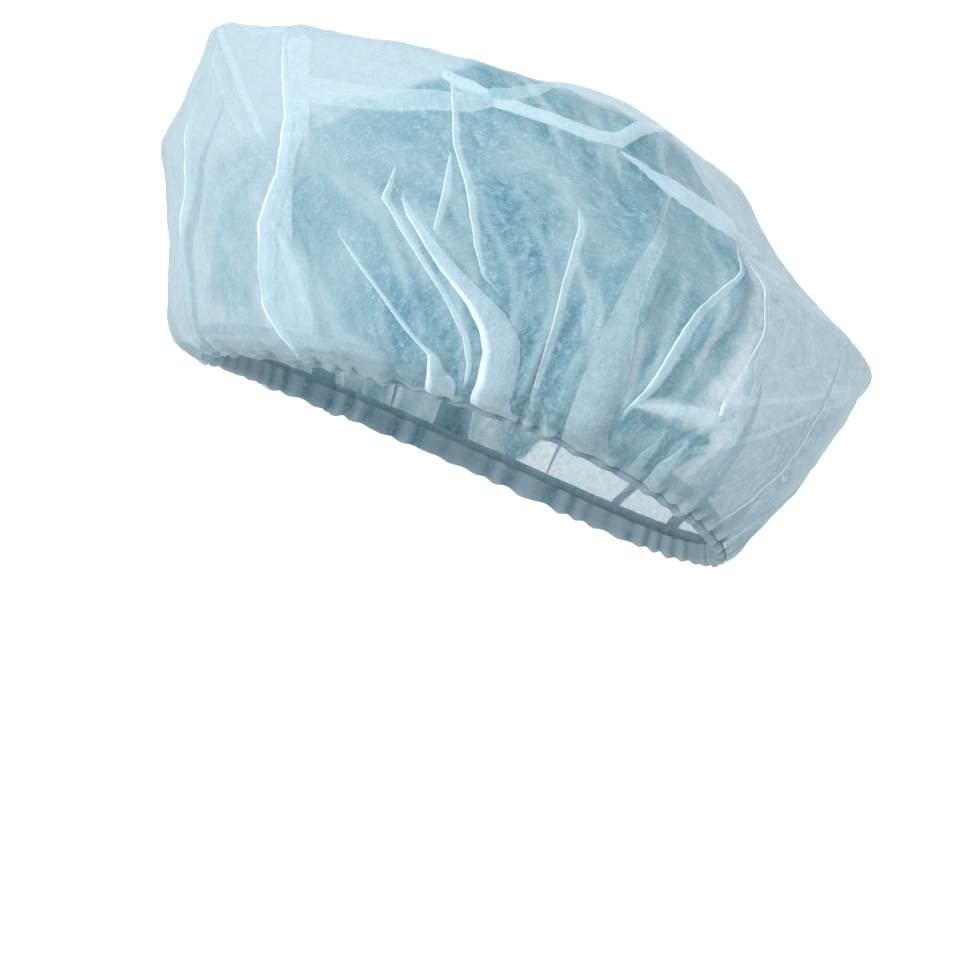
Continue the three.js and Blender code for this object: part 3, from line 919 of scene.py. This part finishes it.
        sheer = bench.add("ShaderNodeMixShader")
        bench.join(cover, sheer.inputs["Fac"])
        bench.join(clear.outputs["BSDF"], sheer.inputs[1])
        bench.join(lit.outputs["Shader"], sheer.inputs[2])
        output = bench.add("ShaderNodeOutputMaterial")
        bench.join(sheer.outputs["Shader"], output.inputs["Surface"])
        return bench.material


@dataclass(frozen=True)
class CoveredElastic:
    """Flat elastic with a fine lengthwise rib and short cross threads."""

    name: str = "covered_elastic"
    yarn: tuple[float, float, float] = (0.62, 0.72, 0.76)
    groove_shade: tuple[float, float, float] = (0.45, 0.58, 0.63)
    ribs: float = 6.0
    threads: float = 420.0

    def material(self) -> bpy.types.Material:
        """Builds the finish.

        Returns:
            The material. It reads the map band: x round the loop in turns, y round the section in turns.
        """
        bench = NodeBench(self.name)
        rib = bench.add("ShaderNodeTexWave", bands_direction="Y")
        rib.inputs["Scale"].default_value = self.ribs
        bench.join(bench.plan("band"), rib.inputs["Vector"])
        thread = bench.add("ShaderNodeTexWave", bands_direction="X")
        thread.inputs["Scale"].default_value = self.threads / 4
        thread.inputs["Distortion"].default_value = 0.6
        bench.join(bench.plan("band"), thread.inputs["Vector"])
        height = bench.reckon("ADD", rib.outputs["Fac"], bench.reckon("MULTIPLY", thread.outputs["Fac"], 0.5))
        bump = bench.add("ShaderNodeBump")
        bump.inputs["Strength"].default_value = 0.6
        bump.inputs["Distance"].default_value = 0.0003
        bench.join(height, bump.inputs["Height"])
        yarn = bench.add("ShaderNodeBsdfPrincipled")
        yarn.inputs["Roughness"].default_value = 0.7
        yarn.inputs["Sheen Weight"].default_value = 0.2
        # Darker in the grooves between ribs and threads: painted shade.
        tint = bench.blend(bench.spread(height, 0.2, 1.2), self.groove_shade, self.yarn)
        bench.join(tint, yarn.inputs["Base Color"])
        bench.join(bump.outputs["Normal"], yarn.inputs["Normal"])
        output = bench.add("ShaderNodeOutputMaterial")
        bench.join(yarn.outputs["BSDF"], output.inputs["Surface"])
        return bench.material


@dataclass(frozen=True)
class StudioPaper:
    """Plain pale floor and wall that glows a little, so that sheer cloth reads against it."""

    name: str = "studio_paper"
    tone: tuple[float, float, float] = (0.6, 0.6, 0.6)
    glow: float = 0.42

    def material(self) -> bpy.types.Material:
        """Builds the finish.

        Returns:
            The material.
        """
        bench = NodeBench(self.name)
        paper = bench.add("ShaderNodeBsdfPrincipled")
        paper.inputs["Base Color"].default_value = (*self.tone, 1)
        paper.inputs["Roughness"].default_value = 0.95
        paper.inputs["Emission Color"].default_value = (1, 1, 1, 1)
        paper.inputs["Emission Strength"].default_value = self.glow
        output = bench.add("ShaderNodeOutputMaterial")
        bench.join(paper.outputs["BSDF"], output.inputs["Surface"])
        return bench.material


# ---------------------------------------------------------------- gathers at the hem


@dataclass
class Gathers:
    """The puckers that the elastic draws into the cloth: an uneven wave round the hem."""

    count: int = 62
    unevenness: float = 1.5
    seed: int = 11

    def wave(self, angle: np.ndarray) -> np.ndarray:
        """The main puckers.

        A sine whose phase wanders with a slow noise, weighted by a second noise.

        Args:
            angle: radians round the cap.

        Returns:
            Heights between about -1 and 1.
        """
        level = np.zeros_like(angle)
        wander = ClothNoise(self.seed, 31, 1).at(angle, level)
        weight = 0.7 + 0.5 * ClothNoise(self.seed + 1, 47, 1).at(angle, level)
        return np.sin(self.count * angle + self.unevenness * 2.2 * wander) * weight

    def fine(self, angle: np.ndarray) -> np.ndarray:
        """Small crinkles between the main puckers."""
        level = np.zeros_like(angle)
        return ClothNoise(self.seed + 2, 2 * self.count + 17, 1).at(angle, level)


# ---------------------------------------------------------------- the crown


@dataclass
class Crown:
    """The puffed crown: one sheet of cloth with its laps, bands, soft folds, crumples and hem gathers.

    In its methods angle is in radians, level is the ring level and smooth holds points of the smooth form,
    each with a value for every point of the grid.
    """

    form: RingForm
    gathers: Gathers
    finish: SheerCloth
    columns: int = 650
    rows: int = 150
    rim_drop: float = 2.6 * MM
    rim_out: float = 0.7 * MM
    rim_ruffle: float = 1.3 * MM
    pleats: tuple[Pleat, ...] = WEARER_LEFT_PLEATS + WEARER_RIGHT_PLEATS
    wide_columns: tuple[int, ...] = (6, 3, 1, 3, 3)
    fine_columns: tuple[int, ...] = (2, 2, 1, 2, 2)
    least_gap: float = 0.7
    least_lap: float = 0.25
    ramp: float = 2.6
    fine_ramp: float = 1.3
    fine_rise: float = 0.6
    fade: float = 0.25
    cut_diameter: float = 0.45
    sharp_angle: float = math.radians(70)
    band_reach: float = 4 * MM
    name: str = "crown_cloth"

    def build(self) -> bpy.types.Object:
        """Works out the sheet and puts it in the scene in place of the plain crown.

        Returns:
            The crown's object.
        """
        levels = self.form.even_levels(self.rows + 1)[:-1]
        angle, lift, lapped = self.knotted_columns(levels)
        level = np.repeat(levels[:, None], self.columns, axis=1)
        smooth = self.form.point(angle, level)
        band_rise, band_depth, band_pale = self.bands(angle, level, smooth)
        # Painted shade where the head, left out, would lie behind the cloth, and in the gather pockets near the
        # hem.
        painted_shade = self.painted_shade(angle, level, smooth)
        pocket_shade = smooth_step(0.15, -0.5, self.gathers.wave(angle) + 0.8 * self.gathers.fine(angle))
        painted_shade = np.maximum(painted_shade, pocket_shade * smooth_step(0.55, 0.1, level))
        stand = lift + band_rise + self.soft_folds(smooth) + self.crumple(angle, level)
        stand = stand * np.minimum(level / 0.6, 1) + self.gather_rise(angle, level)
        points = smooth + self.form.normal(angle, level) * stand[..., None]
        rim_share = smooth_step(1, 0, level)[..., None]
        _, up, out = self.form.hem_frame(angle)
        ragged = (0.5 + 0.5 * self.gathers.wave(angle) + 0.7 * self.gathers.fine(angle)) * self.rim_ruffle
        drop = (self.rim_drop + ragged)[..., None]
        points = points + (out * self.rim_out - up * drop) * rim_share
        pole = self.form.point(np.zeros(1), np.full(1, float(self.form.top_level)))
        piece = self.mesh(points, pole)
        hem = smooth_step(0.5, 0.0, level)
        # Pale like doubled cloth along the rim, except in the pockets, which keep their painted shade.
        rim_pale = 0.85 * (1 - pocket_shade) * smooth_step(0.5, 0.25, level)
        lapped = np.maximum(lapped, rim_pale)
        thin = self.softened(self.patched(THIN_PATCHES, angle, level), 1)
        shades = {"painted_shade": painted_shade, "lapped": lapped, "hem": hem, "thin": thin, "band_depth": band_depth,
                  "band_pale": band_pale}
        self.store_shades(piece, angle, level, shades)
        self.dress(piece)
        return piece

    def knotted_columns(self, levels: np.ndarray) -> tuple[np.ndarray, np.ndarray, np.ndarray]:
        """Lays the grid's columns round the cap so that each pleat's borders are columns.

        Each pleat has six knot columns: where the cloth starts to climb, its two borders on top, the folded
        edge underneath, the hidden turn and the border below it. Between knots the columns spread evenly.

        Args:
            levels: the rows' levels.

        Returns:
            Angle in radians, lift in metres and lapped share (0 or 1) of each point, rows by columns.
        """
        pleats = self.pleats
        left = np.stack([along_path(p.left, levels) for p in pleats])
        lap = np.stack([along_path(p.lap, levels) for p in pleats])
        spans = np.array([p.span for p in pleats])
        inside = np.minimum(levels - spans[:, :1], spans[:, 1:] - levels)
        hems = spans[:, :1] <= 0
        inside = np.where(hems, spans[:, 1:] - levels, inside)
        here = smooth_step(-self.fade, 0, inside)
        lap = np.maximum(lap, self.least_lap) * here
        for index in range(1, len(pleats)):
            left[index] = np.maximum(left[index], left[index - 1] + lap[index - 1] + self.least_gap)
        next_left = np.vstack([left[1:], left[:1] + 360])
        ramps = np.array([[self.fine_ramp if p.fine else self.ramp] for p in pleats])
        room = np.minimum(ramps, (next_left - left - lap) * 0.45)
        gap_before = left - np.vstack([left[-1:] - 360 + lap[-1:], left[:-1] + lap[:-1]])
        room_before = np.minimum(ramps, gap_before * 0.45)
        knot_angle, knot_lift, knot_lapped, knot_column = [], [], [], []
        counts = [self.fine_columns if p.fine else self.wide_columns for p in pleats]
        spare = self.columns - sum(sum(count) for count in counts)
        gap_weight = (next_left - left - lap).mean(axis=1)
        gap_columns = np.diff(np.round(np.concatenate([[0], np.cumsum(gap_weight / gap_weight.sum())]) * spare))
        column = 0
        for index, pleat in enumerate(pleats):
            counted = counts[index] if pleat.side is LapSide.RIGHT else counts[index][::-1]
            places = np.concatenate([[0], np.cumsum(counted)])
            shares = places / places[-1]
            low_rest = left[index] - room_before[index] * (1 - here[index]) * 0.9
            high_rest = left[index] + lap[index] + room[index] * (0.9 - 0.9 * here[index])
            rest = low_rest + (high_rest - low_rest) * shares[:, None]
            a, b = left[index], left[index] + lap[index]
            top = pleat.rise_mm * MM * (self.fine_rise if pleat.fine else 1)
            turned, under = top * 0.55, top * 0.3
            # Marks are the lapped share, 1 at the folded edge and 0.72 at the other border; the finish paints a
            # highlight where they are near 1.
            if pleat.side is LapSide.RIGHT:
                folded = np.stack([a - room_before[index], a, b, b, a, b])
                rises = (0, top, top, turned, under, 0)
                marks = (0, 0.72, 1, 1, 1, 0)
            else:
                folded = np.stack([a, b, a, a, b, b + room[index]])
                rises = (0, under, turned, top, top, 0)
                marks = (0, 1, 1, 1, 0.72, 0)
            knot_angle.append(rest + (folded - rest) * here[index])
            knot_lift.append(np.array(rises)[:, None] * here[index])
            knot_lapped.append(np.array(marks)[:, None] * here[index] * pleat.pale)
            knot_column.append(column + places)
            column += int(places[-1] + gap_columns[index])
        angles, lifts, laps = (np.vstack(part) for part in (knot_angle, knot_lift, knot_lapped))
        knots = np.concatenate([*knot_column, [self.columns + knot_column[0][0]]])
        angles = np.vstack([angles, angles[:1] + 360])
        lifts = np.vstack([lifts, lifts[:1]])
        laps = np.vstack([laps, laps[:1]])
        places = np.arange(self.columns) + knots[0]
        low = np.clip(np.searchsorted(knots, places, side="right") - 1, 0, len(knots) - 2)
        share = ((places - knots[low]) / (knots[low + 1] - knots[low]))[:, None]
        angle = angles[low] * (1 - share) + angles[low + 1] * share
        lift = lifts[low] * (1 - share) + lifts[low + 1] * share
        blended = laps[low] * (1 - share) + laps[low + 1] * share
        lapped = np.where((laps[low] * laps[low + 1] > 0) | (share == 0), blended, 0)
        return np.radians(angle).T, lift.T, lapped.T

    def laid_line(self, line: np.ndarray, steps: int = 6) -> tuple[np.ndarray, np.ndarray]:
        """Samples a table of (angle, level, width) rows between its rows and lays it on the form.

        Args:
            line: rows of angle in degrees, level and width.
            steps: samples from one row to the next.

        Returns:
            Samples by three columns, and their points.
        """
        knots = np.arange(len(line))
        at = np.linspace(0, len(line) - 1, steps * (len(line) - 1) + 1)
        samples = np.stack([np.interp(at, knots, line[:, k]) for k in range(3)], axis=-1)
        return samples, self.form.point(np.radians(samples[:, 0]), samples[:, 1])

    def distance_to(self, points: np.ndarray, chain: np.ndarray) -> tuple[np.ndarray, np.ndarray]:
        """Distance from points to a chain of straight runs.

        Args:
            points: grid of points.
            chain: the chain's corner points.

        Returns:
            The distance, and where along the chain its nearest place is, counted in runs.
        """
        best = np.full(points.shape[:-1], np.inf)
        where = np.zeros(points.shape[:-1])
        for run, (start, end) in enumerate(zip(chain[:-1], chain[1:])):
            step = end - start
            share = np.clip(((points - start) @ step) / max(step @ step, 1e-12), 0, 1)
            away = np.linalg.norm(points - start - share[..., None] * step, axis=-1)
            closer = away < best
            best = np.where(closer, away, best)
            where = np.where(closer, run + share, where)
        return best, where

    def bands(self, angle: np.ndarray, level: np.ndarray, smooth: np.ndarray) -> tuple[np.ndarray, ...]:
        """Raised strips that lie across the crown, with crisp borders.

        Returns:
            Rise in metres, how far inside the nearest strip's border each point lies in millimetres, and that
            strip's pale share.
        """
        wobble = ClothNoise(31, 160, 3).at(angle, level) * 0.35 * MM
        rise = np.zeros(angle.shape)
        depth = np.full(angle.shape, -self.band_reach)
        pale = np.zeros(angle.shape)
        for band in BANDS:
            samples, chain = self.laid_line(np.array(band.line, float))
            away, where = self.distance_to(smooth, chain)
            half = np.interp(where, np.arange(len(samples)), samples[:, 2]) * MM / 2
            inside = smooth_step(-0.7 * MM, 0.3 * MM, half - away + wobble)
            rise = np.maximum(rise, inside * band.rise_mm * MM)
            deeper = np.minimum(half - away, self.band_reach)
            pale = np.where(deeper > depth, band.pale, pale)
            depth = np.maximum(depth, deeper)
        return rise, depth / MM, pale

    def soft_folds(self, smooth: np.ndarray) -> np.ndarray:
        """Tent-shaped ridges and dents, the strongest of each counting.

        Returns:
            Rise in metres.
        """
        ridge = np.zeros(smooth.shape[:-1])
        dent = np.zeros(smooth.shape[:-1])
        for fold in RIDGES:
            line = np.array([(*fold.start, 0), (*fold.end, 0)], float)
            _, chain = self.laid_line(line, steps=8)
            away, _ = self.distance_to(smooth, chain)
            share = np.clip(1 - away / (fold.half_width_mm * MM), 0, 1)
            rise = fold.rise_mm * MM * share
            ridge = np.maximum(ridge, rise)
            dent = np.minimum(dent, rise)
        return ridge + dent

    def painted_shade(self, angle: np.ndarray, level: np.ndarray, smooth: np.ndarray) -> np.ndarray:
        """Painted shade where the head, left out, would lie behind the cloth, weaker towards the front, the rear
        and the top, and cleared along the streaks.

        Returns:
            0 for cloth without painted shade to 1 for full painted shade.
        """
        side = np.degrees(np.arccos(np.clip(np.cos(angle), -1, 1)))
        near_front = 0.62 + 0.38 * smooth_step(44, 74, side)
        near_rear = 1 - 0.2 * smooth_step(98, 112, side)
        near_top = 1 - 0.3 * smooth_step(7.3, 8.6, level)
        shade = self.patched(PAINTED_SHADE_PATCHES, angle, level) * near_front * near_rear * near_top
        return self.softened(shade, 3) * (1 - self.standing_off(smooth))

    def standing_off(self, smooth: np.ndarray) -> np.ndarray:
        """How far the soft streaks clear the painted shade.

        Returns:
            0 away from the streaks, up to each one's strength on its middle line.
        """
        cleared = np.zeros(smooth.shape[:-1])
        for streak in STREAKS:
            line = np.array([(*place, 0) for place in streak.line], float)
            samples, chain = self.laid_line(line)
            away, where = self.distance_to(smooth, chain)
            ends = smooth_step(0, 3, np.minimum(where, len(samples) - 1 - where) + 0.8)
            near = smooth_step(streak.half_width_mm * MM, 0, away)
            cleared = np.maximum(cleared, near * ends * streak.strength)
        return cleared

    def patched(self, patches: tuple[Patch, ...], angle: np.ndarray, level: np.ndarray) -> np.ndarray:
        """The strongest shade of the patches that each point lies in, their borders ruffled by a noise.

        Args:
            patches: areas and their shades.
            angle: radians.
            level: ring level.

        Returns:
            The shade, 0 outside all of them.
        """
        degrees = np.mod(np.degrees(angle) + ClothNoise(41, 150, 3).at(angle, level) * 0.5, 360)
        height = level + ClothNoise(42, 150, 3).at(angle, level) * 0.05
        shade = np.zeros(angle.shape)
        for patch in patches:
            corners = np.array(patch.outline, float)
            inside = np.zeros(angle.shape, bool)
            for (x0, y0), (x1, y1) in zip(corners, np.roll(corners, -1, axis=0)):
                between = (y0 > height) != (y1 > height)
                run = (x1 - x0) * (height - y0) / (y1 - y0 if y1 != y0 else 1) + x0
                inside ^= between & (degrees < run)
            shade = np.maximum(shade, inside * patch.shade)
        return shade

    def softened(self, shade: np.ndarray, times: int) -> np.ndarray:
        """Blurs a shade over the grid's neighbours.

        Args:
            shade: rows by columns.
            times: how often the five-point average is taken.

        Returns:
            The blurred shade.
        """
        for _ in range(times):
            padded = np.vstack([shade[:1], shade, shade[-1:]])
            beside = np.roll(shade, 1, axis=1) + np.roll(shade, -1, axis=1)
            shade = (2 * shade + beside + padded[:-2] + padded[2:]) / 6
        return shade

    def crumple(self, angle: np.ndarray, level: np.ndarray) -> np.ndarray:
        """Crinkles all over: a few sizes of creased noise, longer up the crown than across it.

        Returns:
            Rise in metres.
        """
        broad = ClothNoise(1, 17, 0.6).at(angle, level) * 1.1
        middle = ClothNoise(2, 46, 1.3).creased(angle + 0.05 * level, level) * 0.8
        slant = ClothNoise(3, 70, 1.8).creased(angle - 0.09 * level, level) * 0.55
        small = ClothNoise(4, 150, 3.2).creased(angle + 0.03 * level, level) * 0.3
        tiny = ClothNoise(5, 290, 6.0).at(angle, level) * 0.14
        near_pole = smooth_step(12, 10.6, level)
        off_pole = smooth_step(11.2, 8.6, level)
        return (broad + tiny + (middle + slant + small) * off_pole) * MM * near_pole

    def gather_rise(self, angle: np.ndarray, level: np.ndarray) -> np.ndarray:
        """Hem puckers, strongest just above the rim and gone a few rings up.

        Returns:
            Rise in metres.
        """
        start = 0.35 + 0.65 * smooth_step(0, 0.8, level)
        main = self.gathers.wave(angle) * 1.15 * start * smooth_step(3.0, 0.7, level)
        fine = self.gathers.fine(angle) * 0.6 * start * smooth_step(2.2, 0.4, level)
        return (main + fine) * MM

    def mesh(self, points: np.ndarray, pole: np.ndarray) -> bpy.types.Object:
        """Joins the grid's rows and closes the pole with a fan.

        Args:
            points: rows by columns by three.
            pole: the pole's point.

        Returns:
            The object.
        """
        rows, columns = points.shape[:2]
        lift = (points[-1].mean(axis=0) - pole[0]) * 0.3
        flat = np.vstack([points.reshape(-1, 3), pole + lift])
        last = (rows - 1) * columns + np.arange(columns)
        fans = np.stack([last, np.roll(last, -1), np.full(columns, rows * columns)], axis=-1)
        piece = make_piece(self.name, flat, grid_faces(rows, columns), fans)
        piece.data.set_sharp_from_angle(angle=self.sharp_angle)
        return piece

    def store_shades(self, piece: bpy.types.Object, angle: np.ndarray, level: np.ndarray,
                     shades: dict[str, np.ndarray]) -> None:
        """Stores the flat pattern and the shades that the finish reads.

        The pattern is the disc that the cap is cut from: radius from the pole, angle as on the cap.

        Args:
            piece: the crown.
            angle: radians.
            level: ring level.
            shades: numbers for each point, by name.
        """
        radius = self.cut_diameter / 2 * (1 - level / self.form.top_level)
        plan = np.stack([radius * np.sin(angle), -radius * np.cos(angle)], axis=-1).reshape(-1, 2)
        add_uv(piece, "cloth", np.vstack([plan, [[0, 0]]]))
        for name, values in shades.items():
            add_shade(piece, name, np.append(values.ravel(), values[-1, 0]))

    def dress(self, piece: bpy.types.Object) -> None:
        """Gives the crown its finish and says what it is."""
        piece.data.materials.append(self.finish.material())
        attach(piece, ROOT)
        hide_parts("crown")


# ---------------------------------------------------------------- hem


@dataclass
class HemCasing:
    """The folded and gathered edge: outer leg, bottom fold and inner leg, swept round the hem line."""

    form: RingForm
    gathers: Gathers
    finish: SheerCloth
    columns: int = 1100
    section_steps: int = 22
    outer_top: float = 6.4 * MM
    inner_top: float = 3.4 * MM
    bottom: float = -4.0 * MM
    outer_face: float = -0.3 * MM
    inner_face: float = -3.9 * MM
    name: str = "hem_cloth"

    def build(self) -> bpy.types.Object:
        """Works out the casing and puts it in the scene in place of the plain one.

        The section is a U: straight legs joined by a half ellipse. Puckers push the outer leg in and out and
        the bottom up and down.

        Returns:
            The casing's object.
        """
        angle = np.linspace(0, FULL_TURN, self.columns, endpoint=False)[None, :]
        share = np.linspace(0, 1, self.section_steps)[:, None]
        middle = (self.outer_face + self.inner_face) / 2
        half = (self.outer_face - self.inner_face) / 2
        turn = smooth_step(0.30, 0.62, share) * math.pi
        straight_down = np.clip(share / 0.38, 0, 1)
        straight_up = np.clip((share - 0.58) / 0.42, 0, 1)
        outward = middle + half * np.cos(turn)
        upward = self.outer_top + (self.bottom + half - self.outer_top) * straight_down
        upward = upward - half * np.sin(turn) + (self.inner_top - self.bottom - half) * straight_up
        wave = self.gathers.wave(angle)
        fine = self.gathers.fine(angle)
        swell = np.cos(turn / 2) * np.sin(np.clip(share / 0.5, 0, 1) * math.pi * 0.9 + 0.25)
        outward = outward + (wave * 0.85 + fine * 0.5) * MM * swell + wave * 0.1 * MM
        scallop = np.sin(turn) * (0.5 + 0.5 * wave) * 1.3 + np.sin(turn) * fine * 0.5
        upward = upward - scallop * MM
        base, up, out = self.form.hem_frame(angle)
        points = base + out * outward[..., None] + up * upward[..., None]
        piece = make_piece(self.name, points[::-1].reshape(-1, 3), grid_faces(self.section_steps, self.columns))
        self.dress(piece, angle, share)
        return piece

    def dress(self, piece: bpy.types.Object, angle: np.ndarray, share: np.ndarray) -> None:
        """Stores the flat pattern, gives the casing its finish and thickness and says what it is.

        Args:
            piece: the casing.
            angle: radians, one row.
            share: place round the section, one column.
        """
        along = angle * 0.16
        plan = np.stack(np.broadcast_arrays(along, share * 0.025), axis=-1)[::-1].reshape(-1, 2)
        add_uv(piece, "cloth", plan)
        shape = (self.section_steps, self.columns)
        # Painted shade in the gather pockets and towards the sides, where the head, left out, would lie behind the
        # casing.
        casing_pocket_shade = smooth_step(0.1, -0.9, self.gathers.wave(angle)) * smooth_step(0.12, 0.3, share)
        casing_shade = 0.1 + 0.4 * np.sin(angle) ** 2 + 0.45 * casing_pocket_shade
        add_shade(piece, "painted_shade", np.broadcast_to(casing_shade, shape)[::-1])
        # Paler on the gather crests: a painted highlight.
        lapped = smooth_step(0.2, 0.9, self.gathers.wave(angle)) * 0.55
        add_shade(piece, "lapped", np.broadcast_to(lapped, shape)[::-1])
        add_shade(piece, "hem", np.ones(shape))
        add_shade(piece, "thin", np.zeros(shape))
        add_shade(piece, "band_depth", np.full(shape, -1.0))
        add_shade(piece, "band_pale", np.zeros(shape))
        piece.data.materials.append(self.finish.material())
        wall = piece.modifiers.new("wall", "SOLIDIFY")
        wall.thickness = 0.35 * MM
        wall.offset = 0
        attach(piece, ROOT)
        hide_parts("hem_casing")


@dataclass
class ElasticBand:
    """The flat elastic loop inside the casing, slightly waved by the cloth it grips."""

    form: RingForm
    finish: CoveredElastic
    columns: int = 600
    section_steps: int = 20
    middle: float = -2.1 * MM
    half_thick: float = 0.55 * MM
    half_wide: float = 2.3 * MM
    squareness: float = 0.35
    name: str = "elastic_strip"

    def build(self) -> bpy.types.Object:
        """Works out the loop and puts it in the scene in place of the plain one.

        The section is a rounded box: cosine and sine raised to a small power, swept round the hem line.

        Returns:
            The loop's object.
        """
        angle = np.linspace(0, FULL_TURN, self.columns, endpoint=False)[None, :]
        turn = np.linspace(0, FULL_TURN, self.section_steps, endpoint=False)[:, None]
        outward = np.sign(np.cos(turn)) * np.abs(np.cos(turn)) ** self.squareness * self.half_thick
        upward = np.sign(np.sin(turn)) * np.abs(np.sin(turn)) ** self.squareness * self.half_wide
        sway = 0.12 * MM * np.sin(40 * angle)
        base, up, out = self.form.hem_frame(angle)
        points = base + out * (self.middle + outward + sway)[..., None] + up * (upward + 0 * angle)[..., None]
        wrapped = np.vstack([points, points[:1]])
        faces = grid_faces(self.section_steps + 1, self.columns) % (self.section_steps * self.columns)
        piece = make_piece(self.name, wrapped[:-1].reshape(-1, 3), faces[:, ::-1])
        plan = np.stack(np.broadcast_arrays(angle / FULL_TURN, turn / FULL_TURN), axis=-1).reshape(-1, 2)
        add_uv(piece, "band", plan)
        piece.data.materials.append(self.finish.material())
        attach(piece, ROOT)
        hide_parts("elastic_band")
        return piece


# ---------------------------------------------------------------- studio


@dataclass
class Studio:
    """A pale bowl-shaped backdrop, soft lights and the camera."""

    floor_z: float = -1.75
    flat_radius: float = 2.6
    bowl_radius: float = 4.2
    wall_top: float = 4.5
    azimuth: float = 70.0
    elevation: float = 0.0
    distance: float = 1.5
    lens_mm: float = 154.7
    sensor_mm: float = 36.0
    aim_right: float = 0.008
    aim: tuple[float, float, float] = (0.0, -0.003, -0.011)

    def build(self) -> None:
        """Makes the backdrop, the lights and the camera."""
        self.backdrop()
        self.lights()
        self.camera()

    def backdrop(self) -> None:
        """A floor that sweeps up into a round wall: a profile of a flat, a quarter ellipse and a rise, turned."""
        turn = np.linspace(0, FULL_TURN, 96, endpoint=False)[None, :]
        corner = np.linspace(0, math.pi / 2, 16)
        sweep = self.bowl_radius - self.flat_radius
        radius = np.concatenate([[0.02], self.flat_radius + sweep * np.sin(corner), [self.bowl_radius]])
        height = np.concatenate([[0], sweep * (1 - np.cos(corner)), [self.wall_top - self.floor_z]]) + self.floor_z
        x, y = radius[:, None] * np.cos(turn), radius[:, None] * np.sin(turn)
        points = np.stack([x, y, np.broadcast_to(height[:, None], x.shape)], axis=-1)
        faces = grid_faces(len(radius), turn.shape[1])
        middle = np.arange(turn.shape[1])
        centre = len(radius) * turn.shape[1]
        fans = np.stack([np.roll(middle, -1), middle, np.full(len(middle), centre)], axis=-1)
        flat = np.vstack([points.reshape(-1, 3), [[0, 0, self.floor_z]]])
        bowl = make_piece("studio_bowl", flat, faces, fans[:, ::-1])
        bowl.data.materials.append(StudioPaper().material())

    def lights(self) -> None:
        """A bright even surround with a large soft key from the front left and a weaker one from behind."""
        world = bpy.data.worlds.new("studio_air")
        world.use_nodes = True
        world.node_tree.nodes["Background"].inputs["Color"].default_value = (1, 1, 1, 1)
        world.node_tree.nodes["Background"].inputs["Strength"].default_value = 1.0
        bpy.context.scene.world = world
        for name, place, size, power in (
            ("key", (1.45, -1.6, 1.1), 1.0, 77.0),
            ("fill", (1.6, 1.3, 0.9), 1.4, 5.0),
            ("back", (-1.6, 0.8, 1.3), 1.2, 16.0),
        ):
            light = bpy.data.lights.new(name, "AREA")
            light.shape = "DISK"
            light.size = size
            light.energy = power
            lamp = bpy.data.objects.new(name, light)
            lamp.location = place
            aim = Vector((0, 0.02, 0.06)) - Vector(place)
            lamp.rotation_euler = aim.to_track_quat("-Z", "Y").to_euler()
            bpy.context.scene.collection.objects.link(lamp)

    def camera(self) -> None:
        """The camera, round the cap at its azimuth and aimed at a point just below the hem's middle."""
        azimuth, elevation = math.radians(self.azimuth), math.radians(self.elevation)
        right = Vector((math.cos(azimuth), math.sin(azimuth), 0))
        back = Vector((math.sin(azimuth) * math.cos(elevation), -math.cos(azimuth) * math.cos(elevation),
                       math.sin(elevation)))
        aim = Vector(self.aim) + right * self.aim_right
        data = bpy.data.cameras.new("camera")
        data.lens = self.lens_mm
        data.sensor_width = self.sensor_mm
        data.clip_end = 30
        camera = bpy.data.objects.new("camera", data)
        camera.location = aim + back * self.distance
        camera.rotation_euler = (-back).to_track_quat("-Z", "Y").to_euler()
        bpy.context.scene.collection.objects.link(camera)
        bpy.context.scene.camera = camera
        bpy.context.scene.view_settings.view_transform = "Standard"


def report(piece: bpy.types.Object) -> None:
    """Logs a piece's name and size."""
    log.info("%s: %d points, %d faces", piece.name, len(piece.data.vertices), len(piece.data.polygons))


def main() -> None:
    """Builds the cap and its studio."""
    logging.basicConfig(level=logging.INFO, format="%(name)s %(message)s")
    form = RingForm()
    gathers = Gathers()
    crown = Crown(form, gathers, SheerCloth("sheer_cloth"))
    crown_piece = crown.build()
    report(crown_piece)
    hem_piece = HemCasing(form, gathers, SheerCloth("hem_cloth_finish")).build()
    report(hem_piece)
    elastic_piece = ElasticBand(form, CoveredElastic()).build()
    report(elastic_piece)
    Studio().build()
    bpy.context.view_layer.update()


if __name__ == "__main__":
    main()
